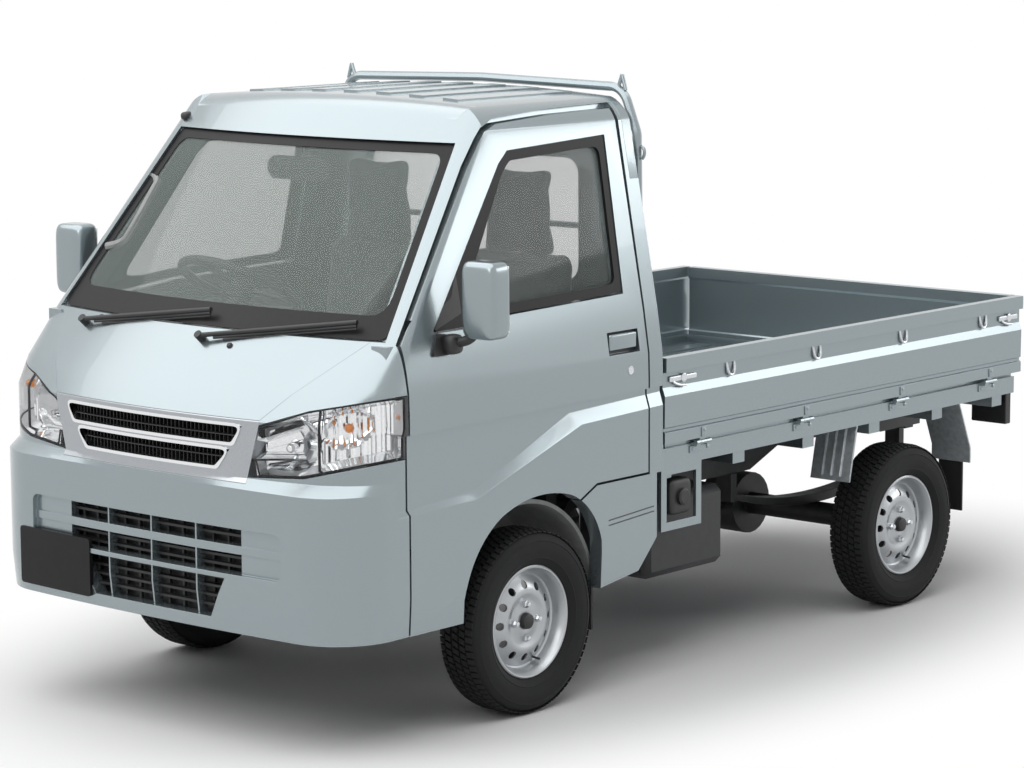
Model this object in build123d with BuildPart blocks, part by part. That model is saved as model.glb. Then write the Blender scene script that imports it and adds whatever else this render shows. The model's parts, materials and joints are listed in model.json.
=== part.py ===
"""Kei truck: a small cab-over pickup with a flat bed, three drop gates and a guard frame.

Millimetres. X points to the vehicle's left, Y to its rear and Z up. The origin is on the ground,
under the middle of the vehicle's length and width.
"""

import os
from math import sqrt

from build123d import *

os.makedirs("parts", exist_ok=True)

# Overall size
LENGTH = 3395
BODY_WIDTH = 1475
WHEELBASE = 1900
TRACK = 1300
FRONT_END = -LENGTH / 2
REAR_END = LENGTH / 2

# The cab and the front running gear are drawn with the nose at NOSE_Y, then set at the front end:
# a longer truck has the same cab and a longer bed
NOSE_Y = -1697.5
CAB_SHIFT = FRONT_END - NOSE_Y
cab_place = Location((0, CAB_SHIFT, 0))

# Wheels and tyres
FRONT_AXLE_Y = NOSE_Y + 834.5
REAR_AXLE_Y = FRONT_AXLE_Y + CAB_SHIFT + WHEELBASE
WHEEL_X = TRACK / 2
TYRE_RADIUS = 270
TYRE_WIDTH = 145
BEAD_RADIUS = 152
FLANGE_RADIUS = 166
RIM_WIDTH = 112
RIM_WALL = 6
DISC_HOLES = 10
DISC_HOLE_RADIUS = 13
DISC_HOLE_CIRCLE = 108
HUB_RADIUS = 58
SPINDLE_RADIUS = 24
RUNNING_CLEARANCE = 0.3
KINGPIN_X = WHEEL_X - 18
KINGPIN_RADIUS = 19

# Cab envelope: a stack of plan outlines, each with a bowed front and rounded front corners
CAB_REAR_Y = NOSE_Y + 1405.5
NOSE_BOW = 2900
BUMPER_BOW = 8000
SCREEN_BASE_Z = 1133
SCREEN_BASE_Y = NOSE_Y + 197.5
SCREEN_TOP_Z = 1652
SCREEN_SLOPE = 0.8317
SIDE_X = BODY_WIDTH / 2 - 2.5
BELT_HALF_WIDTH = SIDE_X - 23
TUMBLEHOME = 0.1912
ROOF_Z = 1768
ROOF_EDGE_Z = 1748
ROOF_EDGE_X = SIDE_X - 202
ROOF_SHOULDER_Z = 1640
ROOF_SHOULDER_RADIUS = 115
ENVELOPE_TOP_Z = 1800
ENVELOPE_RISE = ENVELOPE_TOP_Z - SCREEN_BASE_Z
SILL_Z = 324
CAB_SECTIONS = (
    # z, front y on the centre line, half width, corner radius, bow radius
    (SILL_Z, NOSE_Y + 12, SIDE_X - 6, 190, BUMPER_BOW),
    (430, NOSE_Y, SIDE_X, 200, BUMPER_BOW),
    (735, NOSE_Y, SIDE_X, 200, BUMPER_BOW),
    (764, NOSE_Y + 5, SIDE_X, 200, NOSE_BOW),
    (923, NOSE_Y + 5, SIDE_X, 200, NOSE_BOW),
    (1000, NOSE_Y + 55, SIDE_X - 2, 170, NOSE_BOW),
    (SCREEN_BASE_Z, SCREEN_BASE_Y, BELT_HALF_WIDTH, 60, NOSE_BOW),
    (
        ENVELOPE_TOP_Z,
        SCREEN_BASE_Y + SCREEN_SLOPE * ENVELOPE_RISE,
        BELT_HALF_WIDTH - TUMBLEHOME * ENVELOPE_RISE,
        50,
        NOSE_BOW,
    ),
)
WALL = 46
REAR_WALL = 40
ROOF_WALL = 30

# Doors
DOOR_GAP = 6
DOOR_FRONT_Y = NOSE_Y + 294.5
DOOR_REAR_Y = CAB_REAR_Y - 66
DOOR_FOOT_Z = 640
DOOR_TOP_Z = 1720
JAMB_TAPER = 3
HINGE_SETBACK = 45
HINGE_INSET = 9
DOOR_HINGE_Y = DOOR_FRONT_Y + HINGE_SETBACK
DOOR_HINGE_X = SIDE_X - HINGE_INSET
DOOR_PIN_RADIUS = 5
DOOR_EAR_RADIUS = 7
DOOR_HINGE_ZS = (560, 945)
DOOR_HINGE_HEIGHT = 36
HINGE_POST_X = SIDE_X - 75
GLASS_THICKNESS = 5
GLASS_INSET = 12
WELL_HALF = SIDE_X - 125

# Bed
BED_FRONT_Y = CAB_REAR_Y + CAB_SHIFT + 8
BED_FLOOR_Z = 697
BED_PLATE = 12
BED_SILL_Z = 640
GATE_HINGE_X = SIDE_X - 6
GATE_HINGE_Z = 700
SILL_FACE_X = GATE_HINGE_X - 14
GATE_BOTTOM_Z = 713
GATE_TOP_Z = 975
GATE_RAIL_OUT = 8.5
GATE_FRONT_Y = BED_FRONT_Y + 6
GATE_REAR_Y = REAR_END - 7.5
BARREL_RADIUS = 8
BARREL_LENGTH = 30
LUG_LENGTH = 20
LUG_GAP = 0.5
GATE_PIN_RADIUS = 4
GATE_BORE_RADIUS = GATE_PIN_RADIUS + RUNNING_CLEARANCE
GATE_HINGES = 4
HINGE_FROM_END = 189
TAIL_HINGE_Y = REAR_END - GATE_RAIL_OUT
TAIL_HINGE_XS = (-520, 0, 520)
TAILGATE_HALF = GATE_HINGE_X - 31

# Chassis
RAIL_X = 330
RAIL_WIDTH = 50
CHASSIS_TOP_Z = 600
RAIL_FOOT_Z = 335

# Sides of bars, hinge pins, drums and wheels
ROD_SIDES = 12
PIN_SIDES = 8
DRUM_SIDES = 24
WHEEL_SIDES = 32


def side_prism(outline, x0, x1):
    """A Y-Z outline carried across the vehicle from x0 to x1."""
    with BuildPart() as prism:
        with BuildSketch(Plane.YZ.offset(x0)):
            with BuildLine():
                Polyline(*outline, close=True)
            make_face()
        extrude(amount=x1 - x0)
    return prism.part


def front_prism(outline, y0, y1):
    """An X-Z outline carried along the vehicle from y0 to y1."""
    with BuildPart() as prism:
        with BuildSketch(Plane.XZ.offset(-y1)):
            with BuildLine():
                Polyline(*outline, close=True)
            make_face()
        extrude(amount=y1 - y0)
    return prism.part


def block(x0, x1, y0, y1, z0, z1):
    """A square block between two corners."""
    with BuildPart() as box:
        with BuildSketch(Plane.XY.offset(z0)):
            with Locations(((x0 + x1) / 2, (y0 + y1) / 2)):
                Rectangle(x1 - x0, y1 - y0)
        extrude(amount=z1 - z0)
    return box.part


def rod(start, end, radius):
    """A straight bar between two points."""
    with BuildPart() as bar:
        axis = Vector(*end) - Vector(*start)
        with BuildSketch(Plane(origin=start, z_dir=axis)):
            RegularPolygon(radius, ROD_SIDES)
        extrude(amount=axis.length)
    return bar.part


def both_sides(part):
    """A left-hand form and its mirror image."""
    return [part, mirror(part, about=Plane.YZ)]


def keep(part, label):
    """Label a finished piece and write it as one file."""
    part.label = label
    export_step(part, f"parts/{label}.step")


# Cab panels
def cab_envelope(inset, rear_inset, roof_inset):
    """The cab's outer form, or the form a given depth inside it."""
    with BuildPart() as envelope:
        for z, front_y, half_width, corner_radius, bow in CAB_SECTIONS:
            side = half_width - inset
            front = front_y + inset
            corner_y = front + bow - sqrt(bow**2 - side**2)
            rear = CAB_REAR_Y - rear_inset
            with BuildSketch(Plane.XY.offset(z)) as outline:
                with BuildLine():
                    ThreePointArc((-side, corner_y), (0, front), (side, corner_y))
                    Polyline((side, corner_y), (side, rear), (-side, rear), (-side, corner_y))
                make_face()
                corners = outline.vertices().filter_by_position(Axis.Y, corner_y - 1, corner_y + 1)
                fillet(corners, max(corner_radius - inset, 12))
        loft(ruled=True)
        roof_z = ROOF_Z - roof_inset
        edge_z = ROOF_EDGE_Z - roof_inset
        edge_x = ROOF_EDGE_X - inset / 2
        shoulder_z = ROOF_SHOULDER_Z
        shoulder_x = BELT_HALF_WIDTH - TUMBLEHOME * (shoulder_z - SCREEN_BASE_Z) - inset + 1
        with BuildSketch(Plane.XZ.offset(-CAB_REAR_Y - 1)):
            with BuildLine():
                Polyline((-BODY_WIDTH, 0), (BODY_WIDTH, 0), (BODY_WIDTH, 1000), (shoulder_x, shoulder_z))
                RadiusArc((shoulder_x, shoulder_z), (edge_x, edge_z), -ROOF_SHOULDER_RADIUS)
                ThreePointArc((edge_x, edge_z), (0, roof_z), (-edge_x, edge_z))
                RadiusArc((-edge_x, edge_z), (-shoulder_x, shoulder_z), -ROOF_SHOULDER_RADIUS)
                Polyline((-shoulder_x, shoulder_z), (-BODY_WIDTH, 1000), (-BODY_WIDTH, 0))
            make_face()
        extrude(amount=LENGTH, mode=Mode.INTERSECT)
    return envelope.part


def cab_core(inset):
    """The space between the side walls, left half, a given depth inside the flank."""
    outline = (
        (0, 0),
        (SIDE_X - inset, 0),
        (SIDE_X - inset, 1000),
        (BELT_HALF_WIDTH - inset, SCREEN_BASE_Z),
        (BELT_HALF_WIDTH - TUMBLEHOME * ENVELOPE_RISE - inset, ENVELOPE_TOP_Z),
        (0, ENVELOPE_TOP_Z),
    )
    return front_prism(outline, NOSE_Y - 50, CAB_REAR_Y + 10)


def door_prism(grow, taper):
    """The door's outline carried through the side wall, wider inside by the taper."""
    outline = (
        (DOOR_FRONT_Y, SILL_Z - 40),
        (DOOR_FRONT_Y, SCREEN_BASE_Z - 4),
        (-1036, 1585),
        (-974, 1655),
        (-945, 1684),
        (-886, 1703),
        (-636, DOOR_TOP_Z - 4),
        (DOOR_REAR_Y, DOOR_TOP_Z),
        (DOOR_REAR_Y, DOOR_FOOT_Z),
        (-600, DOOR_FOOT_Z),
        (-760, 560),
        (-760, SILL_Z - 40),
    )
    with BuildPart() as prism:
        with BuildSketch(Plane.YZ.offset(SIDE_X + 25)):
            with BuildLine():
                Polyline(*outline, close=True)
            make_face()
            offset(amount=grow, kind=Kind.INTERSECTION)
        extrude(amount=-300, taper=-taper)
    return prism.part


def arch_prism(grow):
    """The front wheel arch: full at the rear, round over the top and front."""
    axle = FRONT_AXLE_Y
    with BuildPart() as prism:
        with BuildSketch(Plane.YZ.offset(SIDE_X + 25)):
            with BuildLine():
                Polyline((axle + 289, 150), (axle + 284, 470))
                ThreePointArc((axle + 284, 470), (axle + 231, 568), (axle + 143, 626))
                ThreePointArc((axle + 143, 626), (axle - 25, 641), (axle - 158, 604))
                ThreePointArc((axle - 158, 604), (axle - 248, 532), (axle - 318, 390))
                Polyline((axle - 318, 390), (axle - 318, 150), (axle + 289, 150))
            make_face()
            offset(amount=grow, kind=Kind.INTERSECTION)
        extrude(amount=-300)
    return prism.part


def side_recess():
    """The long wedge pressed into the flank, with a slanted lower lip that widens to the rear."""
    outside = ((-1450, 884), (-280, 895), (-280, 834), (-665, 822), (-1133, 667), (-1450, 661))
    inside = ((-1450, 883), (-280, 894), (-280, 877), (-712, 862), (-1110, 696), (-1450, 673))
    depth = 13
    with BuildPart() as recess:
        for x, outline in ((SIDE_X + 1, outside), (SIDE_X - depth, inside)):
            with BuildSketch(Plane.YZ.offset(x)):
                with BuildLine():
                    Polyline(*outline, close=True)
                make_face()
        loft(ruled=True)
    return recess.part


cab_outer = cab_envelope(0, 0, 0)
cab_inner = cab_envelope(WALL, REAR_WALL, ROOF_WALL)
glass_outer = cab_envelope(GLASS_INSET, GLASS_INSET, GLASS_INSET)
glass_inner = cab_envelope(GLASS_INSET + GLASS_THICKNESS, GLASS_INSET + GLASS_THICKNESS, GLASS_INSET)
opening_core = cab_core(WALL + DOOR_GAP)
opening_prism = door_prism(DOOR_GAP / 2, JAMB_TAPER)
with BuildPart() as door_opening:
    add(opening_prism)
    add(opening_core, mode=Mode.SUBTRACT)
door_body = door_prism(-DOOR_GAP / 2, 0)
arch = arch_prism(0)

side_recesses = both_sides(side_recess())

# The sill behind the front wheel rises to the rear and stops short of the cab's back
sill_outline = (
    (-700, 200),
    (-574, SILL_Z + 2),
    (-402, SILL_Z + 26),
    (-320, SILL_Z + 118),
    (-320, DOOR_FOOT_Z - 4),
    (-250, DOOR_FOOT_Z - 4),
    (-250, 200),
)
sill_cut = side_prism(sill_outline, 0, SIDE_X + 25)

with BuildPart() as cab_shell:
    add(cab_outer)
    add(cab_inner, mode=Mode.SUBTRACT)
    for recess in side_recesses:
        add(recess, mode=Mode.SUBTRACT)

# Outlines seen from the front
SCREEN_HALF_BASE = BELT_HALF_WIDTH - 48
SCREEN_HALF_TOP = SCREEN_HALF_BASE - 104
screen_outline = (
    (-SCREEN_HALF_BASE, SCREEN_BASE_Z + 4),
    (SCREEN_HALF_BASE, SCREEN_BASE_Z + 4),
    (SCREEN_HALF_TOP, SCREEN_TOP_Z),
    (-SCREEN_HALF_TOP, SCREEN_TOP_Z),
)
LAMP_FOOT_X = 374
LAMP_HEAD_X = 415
GRILLE_BASE_Z = 750
GRILLE_TOP_Z = 926
lamp_outline = ((LAMP_FOOT_X, 766), (LAMP_HEAD_X, 914), (560, 962), (760, 1003), (760, 828), (560, 778))
grille_outline = (
    (-LAMP_FOOT_X, GRILLE_BASE_Z),
    (LAMP_FOOT_X, GRILLE_BASE_Z),
    (LAMP_FOOT_X, 766),
    (LAMP_HEAD_X, GRILLE_TOP_Z - 12),
    (LAMP_HEAD_X, GRILLE_TOP_Z),
    (-LAMP_HEAD_X, GRILLE_TOP_Z),
    (-LAMP_HEAD_X, GRILLE_TOP_Z - 12),
    (-LAMP_FOOT_X, 766),
)
bumper_outline = (
    (-800, SILL_Z - 20),
    (800, SILL_Z - 20),
    (800, 828),
    (760, 828),
    (560, 778),
    (LAMP_FOOT_X, 766),
    (LAMP_FOOT_X, GRILLE_BASE_Z),
    (-LAMP_FOOT_X, GRILLE_BASE_Z),
    (-LAMP_FOOT_X, 766),
    (-560, 778),
    (-760, 828),
    (-800, 828),
)
nose_outline = (
    (-LAMP_HEAD_X, GRILLE_TOP_Z),
    (LAMP_HEAD_X, GRILLE_TOP_Z),
    (620, SCREEN_BASE_Z + 4),
    (-620, SCREEN_BASE_Z + 4),
)
roof_outline = (
    (-1300, SCREEN_TOP_Z),
    (-1010, SCREEN_TOP_Z),
    (-975, 1692),
    (-890, 1722),
    (-640, 1736),
    (-280, 1738),
    (-280, 1900),
    (-1300, 1900),
)
FRONT_CLIP_Y = DOOR_FRONT_Y - DOOR_GAP / 2
REAR_PANEL_HALF = SIDE_X - 95
screen_prism = front_prism(screen_outline, NOSE_Y - 50, -900)
lamp_prism = front_prism(lamp_outline, NOSE_Y - 50, FRONT_CLIP_Y)
grille_prism = front_prism(grille_outline, NOSE_Y - 50, FRONT_CLIP_Y)
bumper_prism = front_prism(bumper_outline, NOSE_Y - 50, FRONT_CLIP_Y)
nose_prism = front_prism(nose_outline, NOSE_Y - 50, -1300)
roof_edges = side_prism(roof_outline, -900, 900)
roof_middle = block(-500, 500, -1300, CAB_REAR_Y - REAR_WALL, SCREEN_TOP_Z, 1900)
with BuildPart() as roof_region:
    add(roof_edges)
    add(roof_middle)
roof_prism = roof_region.part
SCREEN_FLANGE = 45
hole_outline = (
    (-SCREEN_HALF_BASE + SCREEN_FLANGE, SCREEN_BASE_Z + 4),
    (SCREEN_HALF_BASE - SCREEN_FLANGE, SCREEN_BASE_Z + 4),
    (SCREEN_HALF_TOP - SCREEN_FLANGE, SCREEN_TOP_Z),
    (-SCREEN_HALF_TOP + SCREEN_FLANGE, SCREEN_TOP_Z),
)
screen_hole = front_prism(hole_outline, NOSE_Y - 50, -900)
with BuildPart() as screen_rebate:
    add(screen_prism)
    add(glass_inner, mode=Mode.SUBTRACT)
rear_prism = block(-REAR_PANEL_HALF, REAR_PANEL_HALF, CAB_REAR_Y - REAR_WALL, CAB_REAR_Y + 10, 600, 1738)

HINGE_POST_Y = DOOR_FRONT_Y - 42
hinge_post = block(WELL_HALF, HINGE_POST_X, HINGE_POST_Y, DOOR_HINGE_Y + 12, SILL_Z + 10, 1080)
hinge_post_head = block(SIDE_X - 100, SIDE_X - 45, HINGE_POST_Y, FRONT_CLIP_Y, 1012, 1128)

left_half = block(0, 900, NOSE_Y - 50, CAB_REAR_Y + 10, 0, 2000)
below_deck = block(0, SIDE_X - 95, -1300, CAB_REAR_Y + 10, 0, 1200)

with BuildPart() as cab_side_left:
    add(cab_shell.part)
    add(left_half, mode=Mode.INTERSECT)
    for cut in (screen_rebate.part, screen_hole, lamp_prism, grille_prism, bumper_prism, nose_prism):
        add(cut, mode=Mode.SUBTRACT)
    for cut in (roof_prism, rear_prism):
        add(cut, mode=Mode.SUBTRACT)
    for cut in (door_opening.part, arch, below_deck, sill_cut):
        add(cut, mode=Mode.SUBTRACT)
    add(hinge_post)
    add(hinge_post_head)
    for z in DOOR_HINGE_ZS:
        with BuildSketch(Plane.XY.offset(z - DOOR_HINGE_HEIGHT / 6)):
            with Locations((DOOR_HINGE_X, DOOR_HINGE_Y)):
                RegularPolygon(DOOR_EAR_RADIUS, PIN_SIDES)
                ear_reach = DOOR_HINGE_X - HINGE_POST_X
                Rectangle(ear_reach + 20, 2 * DOOR_EAR_RADIUS - 2, align=(Align.MAX, Align.CENTER))
        extrude(amount=DOOR_HINGE_HEIGHT / 3)
        with BuildSketch(Plane.XY.offset(z)):
            with Locations((DOOR_HINGE_X, DOOR_HINGE_Y)):
                Circle(DOOR_PIN_RADIUS)
        extrude(amount=DOOR_HINGE_HEIGHT)

with BuildPart() as cab_side_right:
    mirror(cab_side_left.part, about=Plane.YZ)

with BuildPart() as nose_panel:
    add(cab_shell.part)
    add(nose_prism, mode=Mode.INTERSECT)

ROOF_RIB_COUNT = 7
ROOF_RIB_SPACING = 132
ROOF_RIB_WIDTH = 58
ROOF_RIB_HEIGHT = 6
ROOF_RIB_YS = (CAB_REAR_Y - 560, CAB_REAR_Y - REAR_WALL - 8)
rib_top = cab_envelope(0, 0, -ROOF_RIB_HEIGHT)
with BuildPart() as roof_ribs:
    with BuildSketch(Plane.XY.offset(ROOF_EDGE_Z - ROOF_WALL / 2)):
        with Locations((0, sum(ROOF_RIB_YS) / 2)):
            with GridLocations(ROOF_RIB_SPACING, 1, ROOF_RIB_COUNT, 1):
                Rectangle(ROOF_RIB_WIDTH, ROOF_RIB_YS[1] - ROOF_RIB_YS[0])
    extrude(amount=ROOF_WALL * 2)
    add(rib_top, mode=Mode.INTERSECT)

with BuildPart() as roof_panel:
    add(cab_shell.part)
    add(roof_prism, mode=Mode.INTERSECT)
    add(roof_ribs.part)

REAR_WINDOW_HALF = 440
REAR_WINDOW_Z = (1190, 1560)
with BuildPart() as rear_panel:
    add(cab_shell.part)
    add(rear_prism, mode=Mode.INTERSECT)
    add(roof_prism, mode=Mode.SUBTRACT)
    with BuildSketch(Plane.XZ.offset(-CAB_REAR_Y - 5)):
        with Locations((0, sum(REAR_WINDOW_Z) / 2)):
            RectangleRounded(2 * REAR_WINDOW_HALF, REAR_WINDOW_Z[1] - REAR_WINDOW_Z[0], 50)
    extrude(amount=REAR_WALL + 20, mode=Mode.SUBTRACT)

with BuildPart() as rear_window:
    with BuildSketch(Plane.XZ.offset(-CAB_REAR_Y + GLASS_INSET)):
        with Locations((0, sum(REAR_WINDOW_Z) / 2)):
            RectangleRounded(2 * REAR_WINDOW_HALF, REAR_WINDOW_Z[1] - REAR_WINDOW_Z[0], 50)
    extrude(amount=GLASS_THICKNESS)

with BuildPart() as windscreen:
    add(glass_outer)
    add(glass_inner, mode=Mode.SUBTRACT)
    add(screen_prism, mode=Mode.INTERSECT)

# Bumper: a shallow pocket across the front, two intakes, a bar along the pocket and thin uprights
POCKET_Z = (492, 621)
POCKET_HALF = 510
INTAKES = (
    # bottom z, top z, half width at the bottom, half width at the top
    (492, 621, 350, 350),
    (361, 478, 238, 300),
)
BUMPER_BAR_Z = (548, 572)
UPRIGHT_XS = (-180, 0, 180)
UPRIGHT_HALF = 3
with BuildPart() as bumper_pocket:
    with BuildSketch(Plane.XZ.offset(-NOSE_Y + 20)):
        with Locations((0, sum(POCKET_Z) / 2)):
            RectangleRounded(2 * POCKET_HALF, POCKET_Z[1] - POCKET_Z[0], 24)
    extrude(amount=-150)
    add(glass_inner, mode=Mode.SUBTRACT)
intake_prisms = []
for z0, z1, half_foot, half_head in INTAKES:
    intake = ((-half_foot, z0), (half_foot, z0), (half_head, z1), (-half_head, z1))
    intake_prisms.append(front_prism(intake, NOSE_Y - 50, FRONT_CLIP_Y))
bar_blocks = [block(-POCKET_HALF, POCKET_HALF, NOSE_Y - 50, FRONT_CLIP_Y, *BUMPER_BAR_Z)]
for x in UPRIGHT_XS:
    bar_blocks.append(block(x - UPRIGHT_HALF, x + UPRIGHT_HALF, NOSE_Y - 50, FRONT_CLIP_Y, 355, 625))
with BuildPart() as bumper_bars:
    for bar in bar_blocks:
        add(bar)
    add(glass_outer, mode=Mode.INTERSECT)
    add(cab_inner, mode=Mode.SUBTRACT)
with BuildPart() as front_bumper:
    add(cab_shell.part)
    add(bumper_prism, mode=Mode.INTERSECT)
    add(bumper_pocket.part, mode=Mode.SUBTRACT)
    for intake in intake_prisms:
        add(intake, mode=Mode.SUBTRACT)
    add(bumper_bars.part)

GRILLE_SLOTS = (
    # bottom z, top z, half width at the bottom, half width at the top
    (858, 906, 322, 356),
    (788, 838, 262, 312),
)
slot_prisms = []
for z0, z1, half_foot, half_head in GRILLE_SLOTS:
    slot = ((-half_foot, z0), (half_foot, z0), (half_head, z1), (-half_head, z1))
    slot_prisms.append(front_prism(slot, NOSE_Y - 50, FRONT_CLIP_Y))
with BuildPart() as grille:
    add(cab_shell.part)
    add(grille_prism, mode=Mode.INTERSECT)
    for slot in slot_prisms:
        add(slot, mode=Mode.SUBTRACT)

lamp_prisms = both_sides(lamp_prism)
with BuildPart() as headlamps:
    for prism in lamp_prisms:
        add(prism)
    add(cab_shell.part, mode=Mode.INTERSECT)

# Doors
window_outline = (
    (-1280, 1150),
    (-905, 1590),
    (-860, 1625),
    (-420, 1645),
    (-440, 1182),
    (-950, 1170),
    (-1150, 1150),
)
window_prism = side_prism(window_outline, 400, 900)

side_cut = side_recesses[0]
RELIEF_DEPTH = 32
swing_relief = block(
    600, DOOR_HINGE_X - RELIEF_DEPTH, DOOR_FRONT_Y - 20, DOOR_HINGE_Y + 20, 0, SCREEN_BASE_Z + 60
)
door_core = cab_core(WALL)
HANDLE_X = SIDE_X - 27
handle_recess = block(HANDLE_X, SIDE_X + 25, -539, -397, 1010, 1077)

with BuildPart() as door_left:
    add(cab_outer)
    add(door_body, mode=Mode.INTERSECT)
    add(door_core, mode=Mode.SUBTRACT)
    add(side_cut, mode=Mode.SUBTRACT)
    add(swing_relief, mode=Mode.SUBTRACT)
    add(arch, mode=Mode.SUBTRACT)
    add(window_prism, mode=Mode.SUBTRACT)
    add(handle_recess, mode=Mode.SUBTRACT)
    for z in DOOR_HINGE_ZS:
        notch_x = DOOR_HINGE_X + DOOR_EAR_RADIUS + 1
        notch_y = DOOR_HINGE_Y + DOOR_EAR_RADIUS + 5
        with BuildSketch(Plane.XY.offset(z - DOOR_HINGE_HEIGHT / 6 - 5)):
            with Locations((notch_x, notch_y)):
                Rectangle(120, 120, align=(Align.MAX, Align.MAX))
        extrude(amount=DOOR_HINGE_HEIGHT / 3 + 10, mode=Mode.SUBTRACT)
        with BuildSketch(Plane.XY.offset(z)):
            with Locations((DOOR_HINGE_X, DOOR_HINGE_Y)):
                RegularPolygon(DOOR_PIN_RADIUS + RUNNING_CLEARANCE, PIN_SIDES, major_radius=False)
        extrude(amount=DOOR_HINGE_HEIGHT + 1, mode=Mode.SUBTRACT)

with BuildPart() as door_right:
    mirror(door_left.part, about=Plane.YZ)

with BuildPart() as door_glass_left:
    add(glass_outer)
    add(glass_inner, mode=Mode.SUBTRACT)
    add(window_prism, mode=Mode.INTERSECT)

with BuildPart() as door_glass_right:
    mirror(door_glass_left.part, about=Plane.YZ)

MIRROR_X = SIDE_X + 101
MIRROR_Y = -1200
MIRROR_Z = 1247
MIRROR_SIZE = (120, 90, 215)
MIRROR_CORNER = 24
foot_outline = ((-1300, 1085), (-1180, 1085), (-1180, 1130), (-1270, 1150))
mirror_foot = side_prism(foot_outline, SIDE_X - 45, SIDE_X - 11)
mirror_arm = rod((SIDE_X - 20, -1215, 1112), (MIRROR_X - 20, MIRROR_Y, MIRROR_Z - 80), 13)
with BuildPart() as mirror_left:
    with BuildSketch(Plane.XY.offset(MIRROR_Z - MIRROR_SIZE[2] / 2)):
        with Locations((MIRROR_X, MIRROR_Y)):
            Rectangle(MIRROR_SIZE[0], MIRROR_SIZE[1])
    extrude(amount=MIRROR_SIZE[2])
    chamfer(mirror_left.edges(), MIRROR_CORNER)
    add(mirror_foot)
    add(mirror_arm)
    add(cab_outer, mode=Mode.SUBTRACT)

with BuildPart() as mirror_right:
    mirror(mirror_left.part, about=Plane.YZ)

# Cab floor: toe board, foot well, seat riser and deck, with the front wheel houses
FLOOR_SHEET = 25
WELL_Z = 400
DECK_Z = 690
TOE_BOARD_Y = -1530
floor_outline = (
    (TOE_BOARD_Y, 800),
    (TOE_BOARD_Y, WELL_Z),
    (-1225, WELL_Z),
    (-1190, DECK_Z - FLOOR_SHEET),
    (CAB_REAR_Y - REAR_WALL, DECK_Z - FLOOR_SHEET),
    (CAB_REAR_Y - REAR_WALL, DECK_Z),
    (-1210, DECK_Z),
    (-1245, WELL_Z + FLOOR_SHEET),
    (TOE_BOARD_Y + FLOOR_SHEET, WELL_Z + FLOOR_SHEET),
    (TOE_BOARD_Y + FLOOR_SHEET, 800),
)
WHEELHOUSE_X = (WHEEL_X - 235, SIDE_X - 55)
WHEELHOUSE_RADIUS = 312
WHEELHOUSE_Z = 300
WHEELHOUSE_SHEET = 12
floor_sheet = side_prism(floor_outline, -WELL_HALF, WELL_HALF)
with BuildPart() as wheelhouse:
    with BuildSketch(Plane.YZ.offset(WHEELHOUSE_X[0])):
        with Locations((FRONT_AXLE_Y - 8, WHEELHOUSE_Z)):
            Circle(WHEELHOUSE_RADIUS + WHEELHOUSE_SHEET)
    extrude(amount=WHEELHOUSE_X[1] - WHEELHOUSE_X[0])
    with BuildSketch(Plane.YZ.offset(WHEELHOUSE_X[0] + WHEELHOUSE_SHEET)):
        with Locations((FRONT_AXLE_Y - 8, WHEELHOUSE_Z)):
            Circle(WHEELHOUSE_RADIUS)
    extrude(amount=WHEELHOUSE_X[1], mode=Mode.SUBTRACT)
    split(bisect_by=Plane.XY.offset(WHEELHOUSE_Z + 40), keep=Keep.TOP)
wheelhouses = both_sides(wheelhouse.part)
deck_supports = both_sides(block(WHEELHOUSE_X[0], WHEELHOUSE_X[0] + 20, -1195, -345, 560, DECK_Z))
with BuildPart() as cab_floor:
    add(floor_sheet)
    for house in wheelhouses:
        add(house)
    for support in deck_supports:
        add(support)

# Cab fittings
dash_outline = ((-1415, 820), (-1190, 860), (-1170, 1010), (-1230, 1095), (-1415, 1090))
dash_form = side_prism(dash_outline, -WELL_HALF, WELL_HALF)
with BuildPart() as dashboard:
    add(dash_form)

STEERING_X = -330
STEERING_Y = -1000
STEERING_Z = 1180
STEERING_TILT = 30
STEERING_RADIUS = 185
STEERING_LAYERS = (
    # height, half width of the ring
    (-13, 6),
    (-5, 14),
    (5, 14),
    (13, 6),
)
STEERING_SIDES = 32
STEERING_HUB_RADIUS = 48
STEERING_HUB_DEPTH = 45
COLUMN_LENGTH = 520
COLUMN_RADIUS = 30
steering_axis = Vector(0, 0, 1).rotate(Axis.X, -STEERING_TILT)
steering_plane = Plane(origin=(STEERING_X, STEERING_Y, STEERING_Z), x_dir=(1, 0, 0), z_dir=steering_axis)
with BuildPart() as wheel_form:
    for height, half in STEERING_LAYERS:
        with BuildSketch(Plane.XY.offset(height)):
            RegularPolygon(STEERING_RADIUS + half, STEERING_SIDES)
    loft(ruled=True)
    for height, half in STEERING_LAYERS:
        with BuildSketch(Plane.XY.offset(height)):
            RegularPolygon(STEERING_RADIUS - half, STEERING_SIDES)
    loft(ruled=True, mode=Mode.SUBTRACT)
    with BuildSketch(Plane.XY.offset(-STEERING_HUB_DEPTH)):
        Circle(STEERING_HUB_RADIUS)
    extrude(amount=STEERING_HUB_DEPTH + 5)
    with BuildSketch(Plane.XY.offset(-8)):
        with PolarLocations(0, 3, start_angle=-90):
            Rectangle(STEERING_RADIUS, 30, align=(Align.MIN, Align.CENTER))
    extrude(amount=12)
with BuildPart() as steering_wheel:
    add(wheel_form.part.moved(Location(steering_plane)))

column_foot = steering_plane.from_local_coords((0, 0, -STEERING_HUB_DEPTH - COLUMN_LENGTH))
column_head = steering_plane.from_local_coords((0, 0, -STEERING_HUB_DEPTH - RUNNING_CLEARANCE))
column_tube = rod(tuple(column_foot), tuple(column_head), COLUMN_RADIUS)
with BuildPart() as steering_column:
    add(column_tube)
    add(dashboard.part, mode=Mode.SUBTRACT)
    add(cab_floor.part, mode=Mode.SUBTRACT)

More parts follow.
